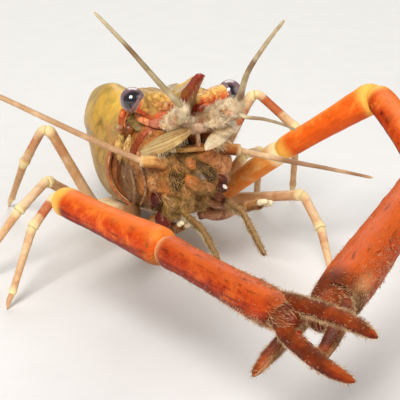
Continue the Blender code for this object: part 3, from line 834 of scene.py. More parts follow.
def limb_material(name, main, edge, core, joint, dark, cores=0.85, bump=0.4, specks=0.45, veins=0.25):
    """Limb shell: deeper along its front and under side, partly pigment and partly painted shade; paler on
    its top side, partly painted light; paler at its edges and joints; dark where its tone says.
    """
    material, graph, shader = new_material(name, coat=0.05, specular=0.12)
    place = graph.place()
    colour = graph.pigment(place, main, edge, core, 520.0, 4200.0, specks)
    wander = graph.math("SUBTRACT", graph.noise(place, 620.0, 4.0, 0.65), 0.5)
    # How far each point faces the limb's front and under side, wandering a little; this places the painted
    # light and painted shade.
    shade_facing = graph.math("ADD", graph.attribute("dorsal"), wander)
    # Painted light: the top side, facing away from the front and under side, takes the pale edge colour.
    colour = graph.lay(colour, edge, shade_facing, 0.05, -0.65, 0.8)
    grain = graph.stretch(graph.attribute("grain", "Vector"), (1.6, 1.6, 1.6))
    lines = graph.math("SUBTRACT", graph.noise(grain, 1.6, 5.0, 0.7), 0.5)
    # Painted shade over the limb's own deeper pigment: the deep colour laid along the front and under side,
    # streaked along the grain.
    colour = graph.lay(colour, core, graph.plus(shade_facing, lines, 2.4), 0.25, 0.8, cores)
    vein = graph.noise(grain, 3.4, 4.0, 0.7, 0.4)
    colour = graph.lay(colour, edge, vein, 0.56, 0.66, veins)
    colour = graph.lay(colour, dark, vein, 0.44, 0.34, veins)
    colour = graph.lay(colour, joint, graph.plus(graph.attribute("pale"), wander, 0.5), 0.12, 0.85)
    colour = graph.lay(colour, dark, graph.plus(graph.attribute("tone"), wander, 0.9), 0.15, 0.8, 0.9)
    finish_material(graph, shader, colour, place, 5200.0, 1100.0, 0.42, 0.68, bump)
    return material


def shell_material(name, settings):
    """Carapace and somites: gold and olive mottling, greyer low down, an orange line at the rim."""
    material, graph, shader = new_material(name, subsurface=0.15, coat=0.08, specular=0.3)
    place = graph.place()
    colour = graph.pigment(place, settings.shell_main, settings.shell_pale, settings.shell_dark,
                           330.0, 3300.0, 0.6)
    veil = graph.noise(place, 520.0, 4.0, 0.6, 0.6)
    low = graph.plus(graph.attribute("dorsal"), veil, 0.7)
    colour = graph.lay(colour, (146, 122, 88), low, 0.35, -0.45, 0.85)
    colour = graph.lay(colour, settings.shell_pale, low, 0.35, 1.1, 0.5)
    olive = graph.noise(graph.stretch(place, (1.0, 1.0, 1.6)), 260.0, 4.0, 0.6, 0.8)
    colour = graph.lay(colour, (116, 110, 58), olive, 0.5, 0.66, 0.5)
    blush = graph.noise(place, 210.0, 3.0, 0.5, 0.5)
    colour = graph.lay(colour, (204, 134, 70), blush, 0.56, 0.7, 0.5)
    rim = graph.plus(graph.attribute("rest"), veil, 0.5)
    colour = graph.mix(graph.band(rim, 0.62, 1.25, 0.22), colour, settings.rim)
    colour = graph.lay(colour, (214, 190, 140), rim, 0.55, 0.3)
    finish_material(graph, shader, colour, place, 4200.0, 800.0, 0.34, 0.6, 0.4)
    return material


def plate_material(name, main, pale, dark, patch=500.0, subsurface=0.15):
    """Small plates and lobes in one mottled colour."""
    material, graph, shader = new_material(name, subsurface=subsurface)
    place = graph.place()
    colour = graph.pigment(place, main, pale, dark, patch, 3600.0, 0.6)
    finish_material(graph, shader, colour, place, 4600.0, 1000.0, 0.25, 0.5, 0.4)
    return material


def painted_material(name, specks=0.6, patch=900.0, coat=0.08):
    """The colours painted on a skin point by point, broken by lighter and darker mottling."""
    material, graph, shader = new_material(name, coat=coat)
    place = graph.place()
    paint = graph.attribute("paint", "Color")
    pale, dark, deep = (graph.mix(1.0, paint, colour, "MULTIPLY")
                        for colour in ((1.45, 1.4, 1.3), (168, 128, 100), (150, 92, 66)))
    lines = graph.band(graph.noise(place, 620.0, 5.0, 0.62, 0.9), 0.485, 0.515, 0.02)
    colour = graph.pigment(place, paint, pale, dark, patch, 3800.0, specks)
    colour = graph.mix(graph.math("MULTIPLY", lines, 0.75), colour, deep)
    fleck = graph.mix(0.35, (246, 214, 150), paint)
    colour = graph.lay(colour, fleck, graph.noise(place, 1700.0, 4.0, 0.7, 0.6), 0.58, 0.68, 0.5)
    finish_material(graph, shader, colour, place, 4200.0, 1300.0, 0.38, 0.65, 1.0)
    return material


def whip_material(name, main, pale, dark, pitch):
    """Feeler whips: one darker ring to each short joint."""
    material, graph, shader = new_material(name, subsurface=0.1, coat=0.15)
    place = graph.place()
    ring = graph.math("FRACT", graph.math("DIVIDE", graph.attribute("along"), pitch))
    line = graph.band(ring, 0.4, 0.6, 0.12)
    colour = graph.lay(main, pale, graph.noise(place, 300.0, 3.0, 0.6), 0.4, 0.65)
    colour = graph.mix(graph.math("MULTIPLY", line, 0.3), colour, dark)
    colour = graph.lay(colour, dark, graph.noise(place, 160.0, 2.0, 0.5), 0.55, 0.64, 0.75)
    finish_material(graph, shader, colour, place, 5200.0, 1500.0, 0.35, 0.55, 0.2)
    return material


def rostrum_material(name, settings):
    """Red-orange blade below a yellow saw edge."""
    material, graph, shader = new_material(name, subsurface=0.2, coat=0.15)
    place = graph.place()
    colour = graph.pigment(place, settings.rostrum_red, (166, 56, 16), (108, 26, 6), 500.0, 3600.0, 0.25)
    edge = graph.plus(graph.attribute("tone"), graph.noise(place, 1500.0), 0.3)
    gold = graph.mix(graph.noise(place, 1900.0, 4.0, 0.7), (168, 112, 40), (236, 206, 128))
    colour = graph.lay(colour, gold, edge, 0.55, 0.8)
    finish_material(graph, shader, colour, place, 4600.0, 1200.0, 0.22, 0.4, 0.35)
    return material


def cornea_material(name):
    """Glossy facetted eye: dark in the middle, purple-brown about it, pale by its stalk."""
    material, graph, shader = new_material(name, subsurface=0.05, coat=1.0, specular=0.7)
    place = graph.place()
    depth = graph.plus(graph.attribute("tone"), graph.noise(place, 900.0), 0.16)
    colour = graph.mix(graph.noise(place, 1500.0, 4.0, 0.7), (104, 72, 78), (156, 122, 124))
    colour = graph.lay(colour, (24, 18, 26), depth, 0.8, 0.97)
    colour = graph.lay(colour, (190, 160, 146), depth, 0.3, 0.05)
    bumped = graph.node("ShaderNodeBump", {
        "Height": graph.cells(place, 9000.0), "Strength": 0.15, "Distance": 0.00002})
    graph.feed(shader, {"Base Color": colour, "Normal": bumped.outputs["Normal"], "Roughness": 0.16,
                        "Coat Roughness": 0.03})
    return material


def hair_material(name, main, tip):
    """Bristles: two browns that vary from tuft to tuft."""
    material, graph, shader = new_material(name, subsurface=0.0, coat=0.0)
    share = graph.noise(graph.place(), 1300.0, 2.0, 0.6)
    graph.feed(shader, {"Base Color": graph.lay(main, tip, share, 0.35, 0.65),
                        "Roughness": graph.ramp(share, 0.3, 0.7, 0.45, 0.6)})
    return material


def fan_material(name, main, pale, dark):
    """Thin horny plates, ribbed along their length."""
    material, graph, shader = new_material(name, subsurface=0.2, coat=0.2)
    place = graph.place()
    grain = graph.stretch(graph.attribute("grain", "Vector"), (4.0, 4.0, 0.3))
    ribs = graph.noise(grain, 2.0, 3.0, 0.6)
    colour = graph.pigment(place, main, pale, dark, 420.0, 3400.0, 0.8)
    colour = graph.lay(colour, pale, ribs, 0.46, 0.62, 0.6)
    colour = graph.lay(colour, dark, ribs, 0.44, 0.34, 0.35)
    finish_material(graph, shader, colour, place, 4600.0, 1000.0, 0.3, 0.5, 0.4)
    return material


# Geometry node trees.


class Field(Nodes):
    """Short ways to lay geometry nodes."""

    def __init__(self, name, sockets):
        super().__init__(bpy.data.node_groups.new(name, "GeometryNodeTree"))
        add_sockets(self.tree, {
            "Geometry": "NodeSocketGeometry", **sockets, "Material": "NodeSocketMaterial"})
        self.tree.interface.new_socket("Geometry", in_out="OUTPUT", socket_type="NodeSocketGeometry")
        self.given = self.node("NodeGroupInput").outputs
        self.made = self.node("NodeGroupOutput")

    def make(self, kind, inputs=None, output=0, **settings):
        """One output of a new geometry node."""
        return self.node(f"GeometryNode{kind}", inputs, **settings).outputs[output]

    def vector(self, operation, first, second):
        """Vector arithmetic; to scale, the second is a number."""
        inputs = {0: first, "Scale" if operation == "SCALE" else 1: second}
        return self.node("ShaderNodeVectorMath", inputs, operation=operation).outputs[0]

    def attribute(self, name, kind="FLOAT"):
        return self.make("InputNamedAttribute", {"Name": name}, "Attribute", data_type=kind)

    def chance(self, kind, low, high, output):
        """Random value for each point; `low` and `high` go by input number."""
        first = 0 if output == 0 else 2
        inputs = {first: low, first + 1: high, "Seed": self.given["Seed"]}
        return self.node("FunctionNodeRandomValue", inputs, data_type=kind).outputs[output]

    def aligned(self, inputs, **settings):
        return self.node("FunctionNodeAlignRotationToVector", inputs, **settings).outputs[0]

    def finish(self, geometry):
        real = self.make("RealizeInstances", {"Geometry": geometry})
        painted = self.make("SetMaterial", {"Geometry": real, "Material": self.given["Material"]})
        self.feed(self.made, {"Geometry": painted})
        return self.tree


def coat_tree():
    """Bent tapering bristles scattered over a skin where its `fur` says, leaning along its `flow`."""
    field = Field("bristle coat", {
        "Density": 3.0e6, "Length": 0.0008, "Width": 0.00004, "Lay": 0.5, "Bend": 0.4, "Spread": 0.35,
        "Seed": 1})
    given = field.given
    points = field.node("GeometryNodeDistributePointsOnFaces", {
        "Mesh": given["Geometry"], "Seed": given["Seed"],
        "Density": field.math("MULTIPLY", given["Density"], field.attribute("fur")),
    }, distribute_method="RANDOM").outputs
    end = field.node("ShaderNodeCombineXYZ", {"X": given["Bend"], "Y": 0.0, "Z": 0.9}).outputs[0]
    curve = field.make("CurveQuadraticBezier", {
        "Resolution": 3, "Start": (0, 0, 0), "Middle": (0, 0, 0.55), "End": end})
    thin = field.math("DIVIDE", given["Width"], given["Length"])
    profile = field.make("CurvePrimitiveCircle", {"Resolution": 3, "Radius": thin})
    share = field.make("SplineParameter", output="Factor")
    bristle = field.make("CurveToMesh", {
        "Curve": curve, "Profile Curve": profile,
        "Scale": field.math("SUBTRACT", 0.5, field.math("MULTIPLY", share, 0.44)), "Fill Caps": True})
    flow = field.attribute("flow", "FLOAT_VECTOR")
    upright = field.vector("SCALE", points["Normal"], field.math("SUBTRACT", 1.0, given["Lay"]))
    laid = field.vector("SCALE", flow, given["Lay"])
    jitter = field.vector("SCALE", field.chance("FLOAT_VECTOR", (-1, -1, -1), (1, 1, 1), 0), given["Spread"])
    aim = field.vector("ADD", field.vector("ADD", upright, laid), jitter)
    turned = field.aligned({"Rotation": field.aligned({"Vector": aim}, axis="Z"), "Vector": flow},
                           axis="X", pivot_axis="Z")
    size = field.math("MULTIPLY", field.chance("FLOAT", 0.5, 1.0, 1), given["Length"])
    return field.finish(field.make("InstanceOnPoints", {
        "Points": points["Points"], "Instance": bristle, "Rotation": turned, "Scale": size}))


def whip_tree():
    """Ringed tapering whip along a line of points, each with its `half` width."""
    field = Field("ringed whip", {"Pitch": 0.0003, "Ring Depth": 0.12, "Sides": 10})
    given = field.given
    curve = field.make("MeshToCurve", {"Mesh": given["Geometry"]})
    step = field.math("DIVIDE", given["Pitch"], 4.0)
    curve = field.make("ResampleCurve", {"Curve": curve, "Length": step}, mode="LENGTH")
    length = field.make("SplineParameter", output="Length")
    curve = field.make("StoreNamedAttribute", {
        "Geometry": curve, "Name": "along", "Value": field.math("DIVIDE", length, MM)},
        data_type="FLOAT", domain="POINT")
    phase = field.math("MULTIPLY", field.math("DIVIDE", length, given["Pitch"]), 2 * math.pi)
    ring = field.math("MULTIPLY", field.math("COSINE", phase), given["Ring Depth"])
    width = field.math("MULTIPLY", field.math("ADD", 1.0, ring), field.attribute("half"))
    profile = field.make("CurvePrimitiveCircle", {"Resolution": given["Sides"], "Radius": 1.0})
    return field.finish(field.make("CurveToMesh", {
        "Curve": curve, "Profile Curve": profile, "Scale": width, "Fill Caps": True}))


TREES = {
    "pigment": pigment_group, "relief": relief_group, "bristle coat": coat_tree, "ringed whip": whip_tree,
}


def shared_tree(name):
    """The shared node tree of this name, built on first use."""
    return bpy.data.node_groups.get(name) or TREES[name]()


def run_tree(piece, name, inputs):
    """Give a piece the mesh that a node tree makes from it."""
    tree = shared_tree(name)
    modifier = piece.modifiers.new(name, "NODES")
    modifier.node_group = tree
    sockets = {item.name: item.identifier for item in tree.interface.items_tree if item.in_out == "INPUT"}
    for label, value in inputs.items():
        modifier[sockets[label]] = value
    apply_modifiers(piece)


BRISTLE_PATCH = 0.003        # share of the unwrap that one bristle takes
# Length and bristles to the square millimetre, width, lay, bend, spread, seed.
COATS = {
    "mouth": (1.1, 18.0, 0.055, 0.5, 0.4, 0.5, 4),
    "lobes": (0.85, 30.0, 0.05, 0.5, 0.4, 0.5, 8),
    "rostrum": (0.75, 60.0, 0.035, 0.35, 0.2, 0.12, 3),
    "frill": (0.6, 50.0, 0.055, 0.55, 0.4, 0.5, 7),
    "antennule": (0.55, 40.0, 0.055, 0.5, 0.4, 0.5, 6),
    "scale": (1.3, 90.0, 0.04, 0.92, 0.15, 0.08, 5),
    "maxilliped": (0.55, 90.0, 0.05, 0.5, 0.4, 0.4, 11),
    "first leg": (0.5, 26.0, 0.035, 0.5, 0.4, 0.3, 13),
    "palm": (0.45, 36.0, 0.05, 0.45, 0.4, 0.35, 17),
    "finger": (0.45, 90.0, 0.05, 0.45, 0.4, 0.35, 19),
    "upper leg": (0.4, 4.0, 0.03, 0.55, 0.4, 0.3, 23),
    "lower leg": (0.36, 5.0, 0.028, 0.55, 0.4, 0.3, 29),
    "tail": (0.9, 60.0, 0.035, 0.93, 0.1, 0.06, 31),
}


def grow_coat(host, name, slot, material, coat_name):
    """Bristles on a skin as their own piece, each on a small patch of the skin's unwrap."""
    length, density, width, lay, bend, spread, seed = COATS[coat_name]
    coat = host.copy()
    coat.data = host.data.copy()
    coat.name = name
    coat.modifiers.clear()
    bpy.context.scene.collection.objects.link(coat)
    run_tree(coat, "bristle coat", {
        "Density": density * 1.0e6, "Length": length * MM, "Width": width * MM, "Lay": lay, "Bend": bend,
        "Spread": spread, "Seed": seed, "Material": material})
    mesh = coat.data
    if not mesh.polygons:
        raise RuntimeError(f"{name} has no bristles")
    mesh.name = name
    roots = mesh.attributes["place"].data
    layer = mesh.uv_layers.new(name="OFBake")
    corners = []
    for loop in mesh.loops:
        for part, corner in zip(roots[loop.vertex_index].vector, (3, 4)):
            corners.append(part * (1 - BRISTLE_PATCH) + BRISTLE_PATCH * (loop.vertex_index % corner) / corner)
    layer.data.foreach_set("uv", corners)
    for label in ("place", *POINT_VALUES):
        if label in mesh.attributes:
            mesh.attributes.remove(mesh.attributes[label])
    mesh.shade_smooth()
    return settle(coat, slot)


WHIP_SIDES = 10


def add_whip(name, points, start_half, end_half, material, pitch, depth, *nodes):
    """A ringed feeler whip along smooth points."""
    route = smooth_route(points, 10)
    mesh = bpy.data.meshes.new(name)
    mesh.from_pydata([tuple(point) for point in route], [(i, i + 1) for i in range(len(route) - 1)], [])
    halves = mesh.attributes.new("half", "FLOAT", "POINT")
    last = len(route) - 1
    halves.data.foreach_set("value", [
        (start_half + (end_half - start_half) * index / last) * MM
        * (1 - 0.5 * smoothstep(0.96, 1.0, index / last)) for index in range(last + 1)])
    piece = add_object(name, mesh)
    run_tree(piece, "ringed whip", {
        "Pitch": pitch * MM, "Ring Depth": depth, "Sides": WHIP_SIDES, "Material": material})
    piece.data.shade_smooth()
    return settle(piece, "feeler", *(nodes or (name,)))


# Carapace and head.


GROOVE_WIDTH = 0.45
GILL_WIDTH = 1.7
CHEEK_BULGE = 0.085


def carapace_point(angle, forward):
    """Body place (forward, up, across) of the carapace's skin, grooves and all."""
    top, bottom, half, low, high = station_at(CARAPACE_SKIN, forward)
    across, up = section_point(angle, half, top, bottom, low, high, 0.66)
    sink = 0.0
    for line, depth in GROOVES:
        nearest = min(distance_to_run(forward, up, *start, *end) for start, end in zip(line, line[1:]))
        sink += depth * bell(nearest, 0.0, GROOVE_WIDTH)
    swell = GILL_SWELL[1 if across > 0 else -1] * bell(abs(across), GILL_CREST, GILL_WIDTH)
    swell *= smoothstep(-2.4, 0.2, up)
    share = smoothstep(-4.0, -8.5, forward) * smoothstep(-20.5, -15.0, forward)
    across *= 1 + CHEEK_BULGE * share * bell(up, -1.2, 2.0)
    up += swell * share
    out = Vector((across / half, (up + 3.6) / 6.0))
    out.normalize()
    return forward, up - out.y * sink, across - out.x * sink


def distance_to_run(x, y, x1, y1, x2, y2):
    """Distance from a point to a straight run, in the plane."""
    span = Vector((x2 - x1, y2 - y1))
    away = Vector((x - x1, y - y1))
    t = min(1.0, max(0.0, away.dot(span) / span.length_squared))
    return (away - span * t).length


def front_edge(angle):
    """How far forward the carapace reaches at an angle round it."""
    forward = -2.0
    for _ in range(6):
        _, up, _ = carapace_point(angle, forward)
        forward = forward + 0.6 * (station_at(FRONT_EDGE, up)[0] - forward)
    return forward


CARAPACE_SWEEP = (-66.0, 246.0)
CARAPACE_COLUMNS = 151
CARAPACE_ROWS = 90
SHELL_WALL = 0.22
RIM_SIDES = 10
LINING_SIDES = 12
# The spine under each eye.
SPINE_ROOT = (-1.3, -2.25, 5.55)
SPINE_TIP = (1.0, -2.1, 5.75)
SPINE_RUN = (0, 0.25, 0.5, 0.75, 0.92, 1.0)
SPINE_HALVES = ((0.42, 0.3), (0.36, 0.28), (0.26, 0.22), (0.16, 0.15), (0.08, 0.08), (0.03, 0.03))


def build_carapace(settings):
    """Shell open below and in front, its rim bead, and its spines."""
    start, end = CARAPACE_SWEEP
    angles = [math.radians(start + (end - start) * column / (CARAPACE_COLUMNS - 1))
              for column in range(CARAPACE_COLUMNS)]
    edges = [front_edge(angle) for angle in angles]
    rear = CARAPACE_SKIN[0][0]
    rows = []
    for row in range(CARAPACE_ROWS):
        t = 1 - (1 - row / (CARAPACE_ROWS - 1)) ** 1.25
        flare = 1 + smoothstep(0.965, 1.0, t) * 0.012
        ring = []
        for angle, edge in zip(angles, edges):
            forward, up, across = carapace_point(angle, rear + (edge - rear) * t)
            ring.append(body_point(forward, up, across * flare))
        rows.append(ring)
    shape = Shape()
    shape.add_rows(rows, closed=False, dorsal=[math.sin(angle) for angle in angles])
    # The distance to the front edge is each column's own; by the rostrum the edge has no line.
    edge_row = rows[-1]
    bare = [smoothstep(-0.4, 0.7, (point - ORIGIN).dot(DORSAL) / MM) for point in edge_row]
    for column in range(CARAPACE_COLUMNS):
        total = 0.0
        for row in range(CARAPACE_ROWS - 1, -1, -1):
            if row < CARAPACE_ROWS - 1:
                total += (rows[row + 1][column] - rows[row][column]).length / MM
            shape.rest[row * CARAPACE_COLUMNS + column] = total + 2.5 * bare[column]
    piece = make_mesh("carapace", shape, shell_material("carapace_shell", settings))
    add_wall(piece, SHELL_WALL)
    settle(piece, "shell", "carapace")

    rim = Shape()
    bead = [(0.13 * (1.05 - fade), 0.17 * (1.05 - fade)) for fade in bare]
    rim.add_rows(ring_rows(edge_row, bead, (0, -1, 0.3), RIM_SIDES), cell=(0.0, 0.25))
    # The skin that lines the shell's edge turns in behind it.
    lining = []
    for point in edge_row:
        ahead = (point - ORIGIN).dot(AHEAD)
        inward = (ORIGIN + AHEAD * ahead - DORSAL * (4.8 * MM) - point).normalized()
        lining.append(point + inward * (0.5 * MM) - AHEAD * (0.25 * MM))
    width = [(0.55 * (1.04 - fade), 0.16 * (1.04 - fade)) for fade in bare]
    rim.add_rows(ring_rows(lining, width, AHEAD, LINING_SIDES, rough=0.1), cell=(0.25, 0.5), slot=1)
    for side, cell in ((1, (0.5, 0.75)), (-1, (0.75, 1.0))):
        root = side_point(SPINE_ROOT, side)
        tip = side_point(SPINE_TIP, side)
        spine = [root.lerp(tip, t) for t in SPINE_RUN]
        rim.add_rows(ring_rows(spine, SPINE_HALVES, (0, 0, 1), 14), cell=cell)
    bead_paint = plate_material("rim_bead", settings.rim, (226, 190, 130), (130, 66, 30), patch=700.0)
    lining_paint = plate_material("rim_lining", (132, 70, 26), (186, 112, 52), (74, 34, 12), patch=600.0)
    settle(make_mesh("carapace_rim", rim, bead_paint, lining_paint), "shell")


# Patches of the head mass: forward, up, left, reach, rise, colour.
HEAD_PATCHES = (
    (-4.5, -6.5, -5.6, 2.6, 0.0, (104, 60, 26)),
    (-1.8, -7.5, -4.9, 2.5, 0.2, (128, 88, 44)),
    (-3.4, -9.4, -3.9, 1.8, 0.1, (116, 80, 42)),
    (2.7, -7.4, -3.5, 1.4, 0.15, (178, 124, 72)),
    (1.8, -8.6, -3.1, 1.0, 0.0, (150, 98, 54)),
    (-3.6, -3.8, -5.1, 1.6, 0.0, (208, 170, 98)),
    (1.1, -5.0, -4.4, 1.1, 0.0, (150, 96, 56)),
    (1.4, -6.1, -4.3, 0.8, -0.1, (92, 52, 26)),
    (-1.6, -1.8, -4.6, 1.1, 0.0, (196, 88, 34)),
    (-1.8, -2.0, -3.7, 1.3, 0.1, (146, 134, 64)),
    (0.9, -3.2, -3.0, 1.2, 0.0, (176, 120, 74)),
    (1.2, -2.0, -2.4, 1.3, 0.1, (206, 112, 80)),
    (-0.1, -0.8, -1.5, 1.4, 0.1, (224, 150, 74)),
    (1.6, -1.0, 1.4, 1.5, 0.0, (216, 120, 74)),
    (4.2, -3.8, -0.4, 0.7, -0.6, (44, 8, 4)),
    (4.1, -3.7, 1.1, 0.75, -0.6, (48, 12, 5)),
    (4.6, -5.0, -1.8, 1.1, 0.0, (120, 92, 44)),
    (5.4, -5.4, -0.9, 0.9, 0.0, (116, 78, 34)),
    (4.9, -5.9, -2.2, 0.9, 0.0, (152, 98, 46)),
    (5.0, -7.7, -2.1, 1.0, -0.5, (40, 12, 4)),
    (6.0, -6.5, 0.1, 0.7, -0.3, (56, 24, 8)),
    (5.6, -7.4, 1.2, 0.9, -0.3, (50, 16, 6)),
    (3.6, -6.2, 3.0, 2.2, 0.0, (172, 122, 82)),
    (3.3, -9.2, -1.4, 1.6, 0.0, (158, 122, 66)),
    (4.2, -9.0, 0.2, 1.3, 0.0, (168, 124, 70)),
    (2.0, -9.4, 2.4, 1.6, 0.0, (116, 62, 30)),
)


def head_paint(point, base):
    """Colour and rise of the head mass at a place."""
    colour = Vector(base)
    rise = 0.0
    wander = noise.noise(point * 1100) * 0.35
    for forward, up, left, reach, lift, patch in HEAD_PATCHES:
        away = (point - body_point(forward, up, left)).length / (reach * MM) + wander
        if away < 1.05:
            share = smoothstep(1.05, 0.6, away)
            colour = colour.lerp(Vector(linear(*patch)), share)
            rise += (lift - rise) * share
    return tuple(colour), rise


HEAD_GRID = (110, 110)       # rows, columns
HEAD_BASE = linear(170, 108, 50)


def build_head(settings):
    """Head mass within the shell, with the lobes, jaws and plates about the mouth."""
    first, last = HEAD_MASS[0][0], HEAD_MASS[-1][0]
    colours = []

    def place(t, turn):
        forward = first + (last - first) * (1 - (1 - t) ** 1.5)
        top, bottom, half = station_at(HEAD_MASS, forward)
        across, up = section_point(turn, half, top, bottom, 0.3, 0.1)
        point = body_point(forward, up, across)
        colour, rise = head_paint(point, HEAD_BASE)
        colours.append(colour)
        wave = 0.12 * noise.noise(point * 700) + 0.1 * noise.noise(point * 1900) + rise
        middle = body_point(forward, (top + bottom) / 2, 0)
        return point + (point - middle).normalized() * (wave * MM)

    shape = Shape()
    shape.add_rows(grid(*HEAD_GRID, place), fur=lambda share, part: smoothstep(0.45, 0.75, share))
    shape.paint[:len(colours)] = colours
    for index, point in enumerate(shape.points):
        forward, up, left = [(point - ORIGIN).dot(axis) / MM for axis in (AHEAD, DORSAL, LEFTWARD)]
        shape.fur[index] *= (smoothstep(1.5, 4.0, forward) * smoothstep(1.6, 0.4, left)
                             * smoothstep(-4.2, -5.0, up))
    piece = add_piece("head", shape, painted_material("head_flesh"), "underside", "mouthparts")
    bristle = hair_material("mouth_bristle", (104, 72, 34), (206, 164, 92))
    grow_coat(piece, "head_bristles", "underside", bristle, "mouth")
    build_face(bristle)


LOBE_STEPS = 30
LOBE_SIDES = 22


def add_lobes(name, lobes, paint, fur, slot, lumps=0.24):
    """Rounded lobes through body places, each one's colour running from root to tip."""
    shape = Shape()
    for number, (places, halves, depth, colours) in enumerate(lobes.values()):
        route = even_route(smooth_route([body_point(*place) for place in places], 8), LOBE_STEPS)
        table = tuple((index / (len(halves) - 1), half) for index, half in enumerate(halves))
        sizes = []
        for index in range(LOBE_STEPS):
            t = index / (LOBE_STEPS - 1)
            half = station_at(table, t)[0] * math.sqrt(max(0.006, 1 - abs(2 * t - 1) ** 5))
            sizes.append((half, half * depth))
        start, end = (Vector(linear(*colour)) for colour in colours)
        shape.add_rows(ring_rows(route, sizes, AHEAD + DORSAL * 0.3, LOBE_SIDES, rough=lumps),
                       cell=(number / len(lobes), (number + 1) / len(lobes)),
                       paint=lambda share, part: tuple(start.lerp(end, share)), fur=lambda share, part: fur)
    return add_piece(name, shape, paint, slot)


